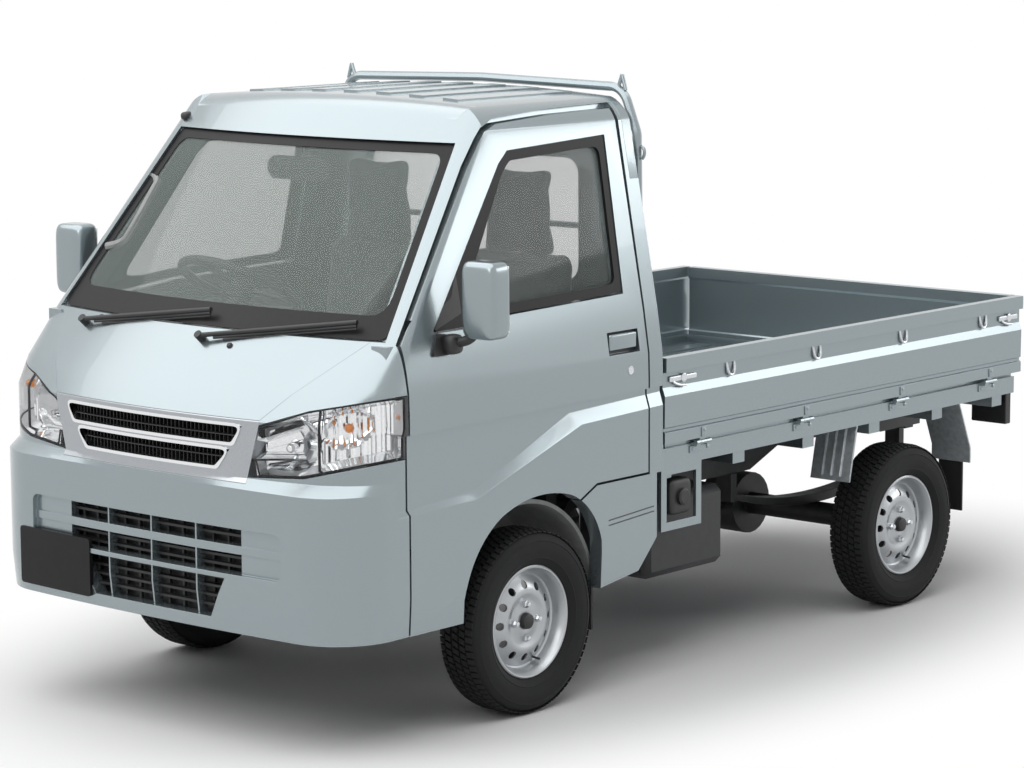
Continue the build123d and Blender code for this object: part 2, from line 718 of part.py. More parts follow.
SEAT_X = 290
SEAT_WIDTH = 430
SEAT_FOOT_Z = DECK_Z
SEAT_FORMS = (
    # half width, outline of the cushion, the back and the head rest
    (SEAT_WIDTH / 2, ((-905, SEAT_FOOT_Z), (-925, 800), (-885, 838), (-540, 815), (-430, SEAT_FOOT_Z))),
    (SEAT_WIDTH / 2 - 8, ((-560, 780), (-478, 1290), (-400, 1310), (-368, 1260), (-380, 780))),
    (SEAT_WIDTH / 4, ((-472, 1280), (-462, 1545), (-395, 1555), (-385, 1280))),
)
seat_forms = []
for half, outline in SEAT_FORMS:
    seat_forms.append(side_prism(outline, SEAT_X - half, SEAT_X + half))
with BuildPart() as seat_left:
    for form in seat_forms:
        add(form)

with BuildPart() as seat_right:
    mirror(seat_left.part, about=Plane.YZ)

mirror_stem = rod((0, -1060, 1570), (0, -1016, 1665), 9)
with BuildPart() as room_mirror:
    with BuildSketch(Plane.XZ.offset(1050)) as outline:
        with Locations((0, 1556)):
            Rectangle(250, 66)
        chamfer(outline.vertices(), 20)
    extrude(amount=28)
    add(mirror_stem)
    add(roof_panel.part, mode=Mode.SUBTRACT)

# Wipers lie along the foot of the windscreen
WIPERS = (
    # pivot x, blade end x
    (-470, 40),
    (60, 560),
)
wiper_rods = []
for pivot_x, end_x in WIPERS:
    pivot_bow = NOSE_BOW - sqrt(NOSE_BOW**2 - pivot_x**2)
    end_bow = NOSE_BOW - sqrt(NOSE_BOW**2 - end_x**2)
    wiper_rods.append(rod((pivot_x, -1545 + pivot_bow, 1120), (end_x, -1475 + end_bow, 1185), 7))
    wiper_rods.append(rod((pivot_x, -1510 + pivot_bow, 1090), (pivot_x, -1550 + pivot_bow, 1125), 12))
with BuildPart() as wipers:
    for bar in wiper_rods:
        add(bar)
    add(cab_outer, mode=Mode.SUBTRACT)

# Chassis: two side rails with a kick-up over the rear axle, tied by cross members
rail_front_y = NOSE_Y + CAB_SHIFT + 107.5
rail_rear_y = REAR_END - 57.5
kick_y = CAB_REAR_Y + CAB_SHIFT
rail_outline = (
    (rail_front_y, RAIL_FOOT_Z),
    (kick_y - 108, RAIL_FOOT_Z),
    (kick_y + 42, 470),
    (REAR_AXLE_Y - 387, 470),
    (REAR_AXLE_Y - 237, 530),
    (REAR_AXLE_Y + 233, 530),
    (REAR_AXLE_Y + 363, 500),
    (rail_rear_y, 500),
    (rail_rear_y, CHASSIS_TOP_Z),
    (kick_y + 112, CHASSIS_TOP_Z),
    (kick_y - 78, WELL_Z),
    (rail_front_y, WELL_Z),
)
CROSS_MEMBERS = (
    # y, bottom z, top z
    (rail_front_y + 30, 340, 395),
    (kick_y - 38, 440, 560),
    (kick_y + 412, 480, 590),
    (REAR_AXLE_Y - 337, 510, 590),
    (REAR_AXLE_Y + 293, 530, 590),
    (rail_rear_y - 30, 485, 590),
)
CROSS_DEPTH = 50
TOW_EYE_Y = REAR_END - 32.5
TOW_EYE_Z = 505
TOW_EYE_RADIUS = 14
TOW_EYE_PLATE = 16
rails = both_sides(side_prism(rail_outline, RAIL_X - RAIL_WIDTH / 2, RAIL_X + RAIL_WIDTH / 2))
with BuildPart() as chassis_frame:
    for rail in rails:
        add(rail)
    for y, z0, z1 in CROSS_MEMBERS:
        with BuildSketch(Plane.XY.offset(z0)):
            with Locations((0, y)):
                Rectangle(2 * RAIL_X, CROSS_DEPTH)
        extrude(amount=z1 - z0)
    with BuildSketch(Plane.YZ.offset(-TOW_EYE_PLATE / 2)):
        with Locations((TOW_EYE_Y, TOW_EYE_Z)):
            Circle(TOW_EYE_RADIUS + 11)
            Rectangle(60, 2 * TOW_EYE_RADIUS + 22, align=(Align.MAX, Align.CENTER))
            Circle(TOW_EYE_RADIUS, mode=Mode.SUBTRACT)
    extrude(amount=TOW_EYE_PLATE)

# Load bed: ribbed floor on cross bearers, framed by sills that carry the gate hinges
SILL_WIDTH = 40
BEARER_COUNT = 6
BEARER_DEPTH = 60
RIB_COUNT = 9
RIB_SPACING = 145
RIB_WIDTH = 60
RIB_HEIGHT = 6
bed_rear_y = TAIL_HINGE_Y - (GATE_HINGE_X - SILL_FACE_X)
bearer_front_y = BED_FRONT_Y + 54
bearer_pitch = (bed_rear_y - 76 - bearer_front_y) / (BEARER_COUNT - 1)
hinge_front_y = GATE_FRONT_Y + HINGE_FROM_END
hinge_pitch = (GATE_REAR_Y - HINGE_FROM_END - hinge_front_y) / (GATE_HINGES - 1)
gate_hinge_ys = [hinge_front_y + i * hinge_pitch for i in range(GATE_HINGES)]
FILLER_Y = (BED_FRONT_Y + 10, BED_FRONT_Y + 206)
FILLER_FOOT_Z = 444
FILLER_SHEET = 12
FILLER_RIM = 26
filler_length = FILLER_Y[1] - FILLER_Y[0]
filler_height = BED_SILL_Z - FILLER_FOOT_Z
with BuildPart() as bed_floor:
    with BuildSketch(Plane.XY.offset(BED_FLOOR_Z - BED_PLATE)):
        with Locations((0, (BED_FRONT_Y + bed_rear_y) / 2)):
            Rectangle(2 * SILL_FACE_X, bed_rear_y - BED_FRONT_Y)
    extrude(amount=BED_PLATE)
    with BuildSketch(Plane.XY.offset(BED_SILL_Z)):
        with Locations((0, (BED_FRONT_Y + bed_rear_y) / 2)):
            Rectangle(2 * SILL_FACE_X, bed_rear_y - BED_FRONT_Y)
            Rectangle(2 * (SILL_FACE_X - SILL_WIDTH), bed_rear_y - BED_FRONT_Y - 2 * SILL_WIDTH,
                      mode=Mode.SUBTRACT)
    extrude(amount=BED_FLOOR_Z - BED_SILL_Z - BED_PLATE / 2)
    for i in range(BEARER_COUNT):
        with BuildSketch(Plane.XY.offset(CHASSIS_TOP_Z)):
            with Locations((0, bearer_front_y + i * bearer_pitch)):
                Rectangle(2 * (SILL_FACE_X - SILL_WIDTH / 2), BEARER_DEPTH)
        extrude(amount=BED_FLOOR_Z - CHASSIS_TOP_Z - BED_PLATE / 2)
    with BuildSketch(Plane.XY.offset(BED_FLOOR_Z)):
        with Locations((0, (BED_FRONT_Y + bed_rear_y) / 2)):
            with GridLocations(RIB_SPACING, 1, RIB_COUNT, 1):
                Rectangle(RIB_WIDTH, bed_rear_y - BED_FRONT_Y - 120)
    extrude(amount=RIB_HEIGHT)
    for side in (-1, 1):
        for y in gate_hinge_ys:
            for end in (-1, 1):
                lug_y = y + end * (BARREL_LENGTH + LUG_LENGTH + 2 * LUG_GAP) / 2
                with BuildSketch(Plane.XZ.offset(LUG_LENGTH / 2 - lug_y)):
                    with Locations((side * GATE_HINGE_X, GATE_HINGE_Z)):
                        RegularPolygon(BARREL_RADIUS, PIN_SIDES)
                    with Locations((side * (GATE_HINGE_X - 8), GATE_HINGE_Z - 6)):
                        Rectangle(24, 12)
                extrude(amount=-LUG_LENGTH)
            with BuildSketch(Plane.XZ.offset(-y + BARREL_LENGTH / 2 + 5)):
                with Locations((side * GATE_HINGE_X, GATE_HINGE_Z)):
                    Circle(GATE_PIN_RADIUS)
            extrude(amount=-BARREL_LENGTH - 10)
    for x in TAIL_HINGE_XS:
        for end in (-1, 1):
            lug_x = x + end * (BARREL_LENGTH + LUG_LENGTH + 2 * LUG_GAP) / 2
            with BuildSketch(Plane.YZ.offset(lug_x - LUG_LENGTH / 2)):
                with Locations((TAIL_HINGE_Y, GATE_HINGE_Z)):
                    RegularPolygon(BARREL_RADIUS, PIN_SIDES)
                with Locations((TAIL_HINGE_Y - 8, GATE_HINGE_Z - 6)):
                    Rectangle(24, 12)
            extrude(amount=LUG_LENGTH)
        with BuildSketch(Plane.YZ.offset(x - BARREL_LENGTH / 2 - 5)):
            with Locations((TAIL_HINGE_Y, GATE_HINGE_Z)):
                Circle(GATE_PIN_RADIUS)
        extrude(amount=BARREL_LENGTH + 10)
    with BuildSketch(Plane.YZ.offset(SILL_FACE_X - FILLER_SHEET)):
        with Locations((sum(FILLER_Y) / 2, (FILLER_FOOT_Z + BED_SILL_Z) / 2)):
            Rectangle(filler_length, filler_height)
            Rectangle(filler_length - 2 * FILLER_RIM, filler_height - 2 * FILLER_RIM, mode=Mode.SUBTRACT)
    extrude(amount=FILLER_SHEET)

# Gates: a top rail, a channel for the rope hooks, a raised panel, a groove and a lower band
GATE_SECTION = (
    # distance out from the hinge line, z
    (3, GATE_BOTTOM_Z),
    (3, 748),
    (-4, 752),
    (-4, 760),
    (2, 764),
    (3, 858),
    (-7, 884),
    (-7, 929),
    (GATE_RAIL_OUT, 931),
    (GATE_RAIL_OUT, GATE_TOP_Z),
    (-23, GATE_TOP_Z),
    (-23, 938),
    (-17, 930),
    (-17, 744),
    (-20, 738),
    (-20, GATE_BOTTOM_Z),
)
side_section = [(GATE_HINGE_X + out, z) for out, z in GATE_SECTION]
tail_section = [(TAIL_HINGE_Y + out, z) for out, z in GATE_SECTION]
side_panel = front_prism(side_section, GATE_FRONT_Y, GATE_REAR_Y)
tail_panel = side_prism(tail_section, -TAILGATE_HALF, TAILGATE_HALF)

with BuildPart() as side_gate_left:
    add(side_panel)
    for y in gate_hinge_ys:
        with BuildSketch(Plane.XZ.offset(-y + BARREL_LENGTH / 2)):
            with Locations((GATE_HINGE_X, GATE_HINGE_Z)):
                RegularPolygon(BARREL_RADIUS, PIN_SIDES)
            with Locations((GATE_HINGE_X - 4, GATE_HINGE_Z + 10)):
                Rectangle(8, 20)
            with Locations((GATE_HINGE_X, GATE_HINGE_Z)):
                RegularPolygon(GATE_BORE_RADIUS, PIN_SIDES, major_radius=False, mode=Mode.SUBTRACT)
        extrude(amount=-BARREL_LENGTH)

with BuildPart() as side_gate_right:
    mirror(side_gate_left.part, about=Plane.YZ)

with BuildPart() as tailgate:
    add(tail_panel)
    for x in TAIL_HINGE_XS:
        with BuildSketch(Plane.YZ.offset(x - BARREL_LENGTH / 2)):
            with Locations((TAIL_HINGE_Y, GATE_HINGE_Z)):
                RegularPolygon(BARREL_RADIUS, PIN_SIDES)
            with Locations((TAIL_HINGE_Y - 4, GATE_HINGE_Z + 10)):
                Rectangle(8, 20)
            with Locations((TAIL_HINGE_Y, GATE_HINGE_Z)):
                RegularPolygon(GATE_BORE_RADIUS, PIN_SIDES, major_radius=False, mode=Mode.SUBTRACT)
        extrude(amount=BARREL_LENGTH)

# Guard frame: headboard and hoop behind the cab
GUARD_Y = BED_FRONT_Y + 18
GUARD_TUBE = 14
TUBE_SIDES = 8
GUARD_HALF = SIDE_X - 107
GUARD_TOP_Z = 1800
HEADBOARD = 18
guard_route = (
    (-GUARD_HALF, GUARD_Y, BED_FLOOR_Z + 20),
    (-GUARD_HALF + 14, GUARD_Y, 1640),
    (-GUARD_HALF + 68, GUARD_Y, GUARD_TOP_Z - 26),
    (0, GUARD_Y, GUARD_TOP_Z - GUARD_TUBE),
    (GUARD_HALF - 68, GUARD_Y, GUARD_TOP_Z - 26),
    (GUARD_HALF - 14, GUARD_Y, 1640),
    (GUARD_HALF, GUARD_Y, BED_FLOOR_Z + 20),
)
GUARD_BARS = (1130, 1350, 1570)
HOOK_X = GUARD_HALF - 71
guard_bars = [rod((-GUARD_HALF + 6, GUARD_Y, z), (GUARD_HALF - 6, GUARD_Y, z), 10) for z in GUARD_BARS]
hook_legs = []
for side in (-1, 1):
    peak = (side * HOOK_X, GUARD_Y, 1811)
    hook_legs.append(rod((side * (HOOK_X - 14), GUARD_Y, 1775), peak, 6))
    hook_legs.append(rod((side * (HOOK_X + 14), GUARD_Y, 1765), peak, 6))
with BuildPart() as guard_frame:
    with BuildLine() as hoop_line:
        FilletPolyline(*guard_route, radius=(60, 70, 120, 70, 60))
    hoop_start = Vector(*guard_route[1]) - Vector(*guard_route[0])
    with BuildSketch(Plane(origin=guard_route[0], z_dir=hoop_start)):
        RegularPolygon(GUARD_TUBE, TUBE_SIDES)
    sweep()
    with BuildSketch(Plane.XY.offset(BED_FLOOR_Z)):
        with Locations((0, GUARD_Y)):
            Rectangle(2 * TAILGATE_HALF, HEADBOARD)
    extrude(amount=GATE_TOP_Z - BED_FLOOR_Z)
    for bar in guard_bars:
        add(bar)
    for leg in hook_legs:
        add(leg)

# Running gear
AXLE_TUBE_RADIUS = 38
AXLE_TUBE_HALF = WHEEL_X - 90
DIFFERENTIAL_RADIUS = 105
DIFFERENTIAL_HALF = 70
DRUM_X = WHEEL_X - 50
DRUM_RADIUS = 110
DRUM_HALF = 15
with BuildPart() as rear_axle:
    with BuildSketch(Plane.YZ.offset(-WHEEL_X - 20)):
        with Locations((REAR_AXLE_Y, TYRE_RADIUS)):
            Circle(SPINDLE_RADIUS)
    extrude(amount=2 * WHEEL_X + 40)
    with BuildSketch(Plane.YZ.offset(-AXLE_TUBE_HALF)):
        with Locations((REAR_AXLE_Y, TYRE_RADIUS)):
            RegularPolygon(AXLE_TUBE_RADIUS, ROD_SIDES)
    extrude(amount=2 * AXLE_TUBE_HALF)
    with BuildSketch(Plane.YZ.offset(-DIFFERENTIAL_HALF)):
        with Locations((REAR_AXLE_Y, TYRE_RADIUS)):
            RegularPolygon(DIFFERENTIAL_RADIUS, DRUM_SIDES)
    extrude(amount=2 * DIFFERENTIAL_HALF)
    for side in (-1, 1):
        with BuildSketch(Plane.YZ.offset(side * DRUM_X - DRUM_HALF)):
            with Locations((REAR_AXLE_Y, TYRE_RADIUS)):
                RegularPolygon(DRUM_RADIUS, DRUM_SIDES)
        extrude(amount=2 * DRUM_HALF)

SPRING_WIDTH = 60
SPRING_FRONT_Y = REAR_AXLE_Y - 470
SPRING_REAR_Y = REAR_AXLE_Y + 470
SPRING_SEAT_Z = TYRE_RADIUS + AXLE_TUBE_RADIUS + RUNNING_CLEARANCE
with BuildPart() as rear_springs:
    for side in (-1, 1):
        with BuildSketch(Plane.YZ.offset(side * RAIL_X - SPRING_WIDTH / 2)):
            with BuildLine():
                ThreePointArc((SPRING_FRONT_Y, 400), (REAR_AXLE_Y, 340), (SPRING_REAR_Y, 400))
                ThreePointArc((SPRING_FRONT_Y, 385), (REAR_AXLE_Y, SPRING_SEAT_Z), (SPRING_REAR_Y, 385))
                Line((SPRING_FRONT_Y, 400), (SPRING_FRONT_Y, 385))
                Line((SPRING_REAR_Y, 400), (SPRING_REAR_Y, 385))
            make_face()
        extrude(amount=SPRING_WIDTH)
        for y, top in ((SPRING_FRONT_Y - 12, 470), (SPRING_REAR_Y + 12, 500)):
            with BuildSketch(Plane.YZ.offset(side * RAIL_X - SPRING_WIDTH / 2)):
                with Locations((y, 375)):
                    Rectangle(30, top - 375, align=(Align.CENTER, Align.MIN))
            extrude(amount=SPRING_WIDTH)

BALL_LOW_Z = TYRE_RADIUS - 108
BALL_HIGH_Z = TYRE_RADIUS + 108
STRUT_X = WHEEL_X - 130
STRUT_RADIUS = 20
STRUT_TOP_Z = WHEELHOUSE_Z + WHEELHOUSE_RADIUS - 2
ARM_RADIUS = 10
front_arms = []
for side in (-1, 1):
    low_z = BALL_LOW_Z - ARM_RADIUS - RUNNING_CLEARANCE
    high_z = BALL_HIGH_Z + ARM_RADIUS + RUNNING_CLEARANCE
    arm_bend = (side * STRUT_X, FRONT_AXLE_Y, low_z)
    strut_foot = (side * STRUT_X, FRONT_AXLE_Y, high_z - 2 * ARM_RADIUS)
    strut_top = (side * STRUT_X, FRONT_AXLE_Y, STRUT_TOP_Z)
    front_arms.append(rod((side * RAIL_X, FRONT_AXLE_Y, 305), arm_bend, 12))
    front_arms.append(rod(arm_bend, (side * KINGPIN_X, FRONT_AXLE_Y, low_z), ARM_RADIUS))
    high_ball = (side * KINGPIN_X, FRONT_AXLE_Y, high_z)
    front_arms.append(rod((side * STRUT_X, FRONT_AXLE_Y, high_z), high_ball, ARM_RADIUS))
    front_arms.append(rod(strut_foot, strut_top, STRUT_RADIUS))
RACK_Y = FRONT_AXLE_Y + 90
RACK_Z = 232
RACK_RADIUS = 9
RACK_CLEARANCE = 0.4
HOUSING_RADIUS = 22
HOUSING_HALF = RAIL_X + 15
TIE_END_X = KINGPIN_X - 32
RACK_HALF = TIE_END_X - 60
SADDLE_HALF = 20
rack_bore = rod((-TIE_END_X, RACK_Y, RACK_Z), (TIE_END_X, RACK_Y, RACK_Z), RACK_RADIUS + RACK_CLEARANCE)
rack_housing = rod((-HOUSING_HALF, RACK_Y, RACK_Z), (HOUSING_HALF, RACK_Y, RACK_Z), HOUSING_RADIUS)
saddles = []
for y, z in ((FRONT_AXLE_Y, 292), (RACK_Y, RACK_Z)):
    saddle = block(RAIL_X - 15, RAIL_X + 15, y - SADDLE_HALF, y + SADDLE_HALF, z, RAIL_FOOT_Z)
    saddles += both_sides(saddle)
with BuildPart() as front_suspension:
    for arm in front_arms:
        add(arm)
    for saddle in saddles:
        add(saddle)
    add(rack_housing)
    add(rack_bore, mode=Mode.SUBTRACT)

rack_bar = rod((-RACK_HALF, RACK_Y, RACK_Z), (RACK_HALF, RACK_Y, RACK_Z), RACK_RADIUS)
with BuildPart() as steering_rack:
    add(rack_bar)

steer_arm = rod((KINGPIN_X, FRONT_AXLE_Y, 262), (TIE_END_X, RACK_Y, 262), 9)
with BuildPart() as knuckle_left:
    with BuildSketch(Plane.XY.offset(BALL_LOW_Z)):
        with Locations((KINGPIN_X, FRONT_AXLE_Y)):
            Circle(KINGPIN_RADIUS)
    extrude(amount=BALL_HIGH_Z - BALL_LOW_Z)
    with BuildSketch(Plane.YZ.offset(KINGPIN_X)):
        with Locations((FRONT_AXLE_Y, TYRE_RADIUS)):
            Circle(SPINDLE_RADIUS)
    extrude(amount=WHEEL_X + 20 - KINGPIN_X)
    add(steer_arm)

with BuildPart() as knuckle_right:
    mirror(knuckle_left.part, about=Plane.YZ)

SHOULDER_TAPER = 45
SHOULDER_DEPTH = 14
SIDEWALL_TAPER = 75
SIDEWALL_DEPTH = 10
BEAD_HALF = 48.5
tread_half = TYRE_WIDTH / 2 - SIDEWALL_DEPTH - SHOULDER_DEPTH
with BuildPart() as tyre_form:
    with BuildSketch(Plane.XY):
        RegularPolygon(TYRE_RADIUS, WHEEL_SIDES)
    extrude(amount=tread_half, both=True)
    for taper, depth in ((SHOULDER_TAPER, SHOULDER_DEPTH), (SIDEWALL_TAPER, SIDEWALL_DEPTH)):
        for end in (tyre_form.faces().sort_by(Axis.Z)[0], tyre_form.faces().sort_by(Axis.Z)[-1]):
            extrude(end, amount=depth, taper=taper)
    with BuildSketch(Plane.XY.offset(-TYRE_WIDTH)):
        RegularPolygon(BEAD_RADIUS + RUNNING_CLEARANCE, WHEEL_SIDES)
    extrude(amount=2 * TYRE_WIDTH, mode=Mode.SUBTRACT)
    for side in (-1, 1):
        with BuildSketch(Plane.XY.offset(side * BEAD_HALF)):
            RegularPolygon(FLANGE_RADIUS + 2, WHEEL_SIDES)
        extrude(amount=side * TYRE_WIDTH, mode=Mode.SUBTRACT)

RIM_HALF = RIM_WIDTH / 2
FLANGE = 5
DISC_FRONT = 30
DISC_REAR = 22
HUB_FRONT = 20
with BuildPart() as rim_form:
    with BuildSketch(Plane.XY.offset(-RIM_HALF)):
        RegularPolygon(BEAD_RADIUS, WHEEL_SIDES)
        RegularPolygon(BEAD_RADIUS - RIM_WALL, WHEEL_SIDES, mode=Mode.SUBTRACT)
    extrude(amount=RIM_WIDTH)
    for z in (-RIM_HALF, RIM_HALF - FLANGE):
        with BuildSketch(Plane.XY.offset(z)):
            RegularPolygon(FLANGE_RADIUS, WHEEL_SIDES)
            RegularPolygon(BEAD_RADIUS - RIM_WALL / 2, WHEEL_SIDES, mode=Mode.SUBTRACT)
        extrude(amount=FLANGE)
    with BuildSketch(Plane.XY.offset(DISC_REAR)):
        RegularPolygon(BEAD_RADIUS - RIM_WALL / 2, WHEEL_SIDES)
        with PolarLocations(DISC_HOLE_CIRCLE, DISC_HOLES):
            RegularPolygon(DISC_HOLE_RADIUS, PIN_SIDES, mode=Mode.SUBTRACT)
    extrude(amount=DISC_FRONT - DISC_REAR)
    with BuildSketch(Plane.XY.offset(DISC_REAR - (DISC_FRONT - HUB_FRONT))):
        RegularPolygon(HUB_RADIUS + 10, DRUM_SIDES)
    extrude(amount=DISC_FRONT - HUB_FRONT)
    with BuildSketch(Plane.XY.offset(HUB_FRONT)):
        RegularPolygon(HUB_RADIUS, DRUM_SIDES)
    extrude(amount=DISC_FRONT, mode=Mode.SUBTRACT)
    with BuildSketch(Plane.XY):
        Circle(SPINDLE_RADIUS + RUNNING_CLEARANCE)
    extrude(amount=DISC_FRONT, mode=Mode.SUBTRACT)

WHEELS = (
    # name, side, axle y
    ("front_left", 1, FRONT_AXLE_Y + CAB_SHIFT),
    ("front_right", -1, FRONT_AXLE_Y + CAB_SHIFT),
    ("rear_left", 1, REAR_AXLE_Y),
    ("rear_right", -1, REAR_AXLE_Y),
)

ENGINE = (-230, 230, NOSE_Y + 677.5, NOSE_Y + 1277.5, 265, 640)
engine_form = block(*ENGINE)
with BuildPart() as engine_block:
    add(engine_form)
    chamfer(engine_block.edges(), 20)

engine_set = engine_block.part.moved(cab_place)
engine_rear_y = ENGINE[3] + CAB_SHIFT
shaft_tube = rod((0, engine_rear_y - 20, 330), (0, REAR_AXLE_Y - 60, 280), 32)
with BuildPart() as propeller_shaft:
    add(shaft_tube)
    add(engine_set, mode=Mode.SUBTRACT)
    add(rear_axle.part, mode=Mode.SUBTRACT)

TANK = (RAIL_X + RAIL_WIDTH / 2, 640, BED_FRONT_Y + 34, BED_FRONT_Y + 424, 280, 530)
tank_form = block(*TANK)
with BuildPart() as fuel_tank:
    add(tank_form)
    chamfer(fuel_tank.edges(), 22)

SILENCER_X = -480
SILENCER_Z = 360
SILENCER_YS = (engine_rear_y + 670, engine_rear_y + 1040)
pipe_bend = (SILENCER_X, engine_rear_y + 320, SILENCER_Z)
exhaust_rods = [
    rod((-200, engine_rear_y, 300), pipe_bend, 20),
    rod((SILENCER_X, engine_rear_y + 310, SILENCER_Z), (SILENCER_X, SILENCER_YS[0] + 50, SILENCER_Z), 20),
    rod((SILENCER_X, SILENCER_YS[0], SILENCER_Z), (SILENCER_X, SILENCER_YS[1], SILENCER_Z), 70),
]
with BuildPart() as exhaust:
    for bar in exhaust_rods:
        add(bar)
    add(engine_set, mode=Mode.SUBTRACT)

FENDER_X = (SIDE_X - 175, SILL_FACE_X)
FENDER_SHEET = 6
front_fender = (
    (REAR_AXLE_Y - 290, BED_SILL_Z),
    (REAR_AXLE_Y - 330, 460),
    (REAR_AXLE_Y - 330 - FENDER_SHEET, 460),
    (REAR_AXLE_Y - 290 - FENDER_SHEET, BED_SILL_Z),
)
rear_fender = (
    (REAR_AXLE_Y + 300, BED_SILL_Z),
    (REAR_AXLE_Y + 370, 480),
    (REAR_AXLE_Y + 370, 430),
    (REAR_AXLE_Y + 370 + FENDER_SHEET, 430),
    (REAR_AXLE_Y + 370 + FENDER_SHEET, 480),
    (REAR_AXLE_Y + 300 + FENDER_SHEET, BED_SILL_Z),
)
fender_sheets = []
for outline in (front_fender, rear_fender):
    fender_sheets += both_sides(side_prism(outline, *FENDER_X))
with BuildPart() as rear_fenders:
    for sheet in fender_sheets:
        add(sheet)

FLAP_SHEET = 8
FLAPS = (
    # y, bottom z, top z
    (REAR_AXLE_Y + 370 + FENDER_SHEET, 260, 478),
    (FRONT_AXLE_Y + CAB_SHIFT + 301, 190, WHEELHOUSE_Z + 40),
)
flap_sheets = []
for y, z0, z1 in FLAPS:
    flap_sheets += both_sides(block(SIDE_X - 150, WHEELHOUSE_X[1], y, y + FLAP_SHEET, z0, z1))
with BuildPart() as mudflaps:
    for sheet in flap_sheets:
        add(sheet)

TAIL_LAMP = (SIDE_X - 175, SIDE_X - 35, REAR_END - 47.5, REAR_END - 15.5, 530, BED_SILL_Z)
lamp_boxes = both_sides(block(*TAIL_LAMP))
with BuildPart() as tail_lamps:
    for box in lamp_boxes:
        add(box)

for name, side, axle_y in WHEELS:
    place = Location((side * WHEEL_X, axle_y, TYRE_RADIUS), (0, side * 90, 0))
    for kind, form in (("rim", rim_form), ("tyre", tyre_form)):
        with BuildPart() as wheel_piece:
            add(form.part.moved(place))
        keep(wheel_piece.part, f"{kind}_{name}")

CAB_PIECES = {
    "cab_floor": cab_floor,
    "cab_side_left": cab_side_left,
    "cab_side_right": cab_side_right,
    "nose_panel": nose_panel,
    "roof_panel": roof_panel,
    "rear_panel": rear_panel,
    "windscreen": windscreen,
    "rear_window": rear_window,
    "front_bumper": front_bumper,
    "grille": grille,
    "headlamps": headlamps,
    "wipers": wipers,
    "dashboard": dashboard,
    "steering_column": steering_column,
    "steering_wheel": steering_wheel,
    "seat_left": seat_left,
    "seat_right": seat_right,
    "room_mirror": room_mirror,
    "door_left": door_left,
    "door_right": door_right,
    "door_glass_left": door_glass_left,
    "door_glass_right": door_glass_right,
    "mirror_left": mirror_left,
    "mirror_right": mirror_right,
    "front_suspension": front_suspension,
    "steering_rack": steering_rack,
    "knuckle_left": knuckle_left,
    "knuckle_right": knuckle_right,
    "engine_block": engine_block,
}
for label, piece in CAB_PIECES.items():
    keep(piece.part.moved(cab_place), label)

CHASSIS_PIECES = {
    "chassis_frame": chassis_frame,
    "bed_floor": bed_floor,
    "side_gate_left": side_gate_left,
    "side_gate_right": side_gate_right,
    "tailgate": tailgate,
    "guard_frame": guard_frame,
    "rear_axle": rear_axle,
    "rear_springs": rear_springs,
    "propeller_shaft": propeller_shaft,
    "fuel_tank": fuel_tank,
    "exhaust": exhaust,
    "rear_fenders": rear_fenders,
    "mudflaps": mudflaps,
    "tail_lamps": tail_lamps,
}
for label, piece in CHASSIS_PIECES.items():
    keep(piece.part, label)
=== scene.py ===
# %% [markdown]
# # A small flat-bed truck
# The solids of the truck come in first, as a frame that is never moved. Every surface made below
# sits on one of those solids, so sizes and places are read from them and not guessed again.

# %% Load the frame
import json
from math import cos, pi, radians, sin, sqrt, tan

import bmesh
import bpy
from mathutils import Matrix, Vector
from mathutils.bvhtree import BVHTree


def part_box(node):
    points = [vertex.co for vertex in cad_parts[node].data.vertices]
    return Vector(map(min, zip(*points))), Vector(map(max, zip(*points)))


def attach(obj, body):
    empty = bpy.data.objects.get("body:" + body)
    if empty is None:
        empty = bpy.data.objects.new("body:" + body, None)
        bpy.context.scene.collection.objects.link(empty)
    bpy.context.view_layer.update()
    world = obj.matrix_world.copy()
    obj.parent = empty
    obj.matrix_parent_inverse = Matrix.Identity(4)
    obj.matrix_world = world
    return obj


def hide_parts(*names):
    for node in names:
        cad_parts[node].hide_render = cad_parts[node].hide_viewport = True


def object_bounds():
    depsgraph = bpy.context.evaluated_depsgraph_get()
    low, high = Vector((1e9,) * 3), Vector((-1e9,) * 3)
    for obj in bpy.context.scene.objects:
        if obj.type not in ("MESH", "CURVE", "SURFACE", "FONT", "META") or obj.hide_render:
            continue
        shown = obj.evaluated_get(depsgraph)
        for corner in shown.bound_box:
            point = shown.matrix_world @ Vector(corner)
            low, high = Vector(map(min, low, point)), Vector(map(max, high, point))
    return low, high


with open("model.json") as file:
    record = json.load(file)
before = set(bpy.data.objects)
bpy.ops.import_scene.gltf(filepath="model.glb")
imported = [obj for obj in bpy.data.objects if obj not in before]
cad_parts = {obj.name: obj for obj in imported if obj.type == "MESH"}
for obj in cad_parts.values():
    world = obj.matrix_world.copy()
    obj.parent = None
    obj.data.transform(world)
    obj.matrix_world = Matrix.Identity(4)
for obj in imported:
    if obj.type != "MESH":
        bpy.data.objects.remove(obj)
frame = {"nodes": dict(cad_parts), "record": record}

cad_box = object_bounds()
BODY_OF = {node: body for body, nodes in frame["record"]["behaviour"]["bodies"].items() for node in nodes}
print("nodes", len(BODY_OF), "box", [tuple(round(v, 3) for v in corner) for corner in cad_box])

# %% [markdown]
# ## Helpers
# Finishes, the backdrop and the repeating tools are all trees of nodes. One helper adds a node. Each of
# its inputs is given a plain value or is linked to the output of another node.

# %% Object and node helpers
def placed(name, data):
    """A new object in the scene."""
    thing = bpy.data.objects.new(name, data)
    bpy.context.scene.collection.objects.link(thing)
    return thing


def feed(tree, target, inputs):
    """Gives a node's inputs their values, and links those that are outputs of other nodes."""
    for key, value in inputs.items():
        if isinstance(value, bpy.types.NodeSocket):
            tree.links.new(value, target.inputs[key])
        else:
            target.inputs[key].default_value = value


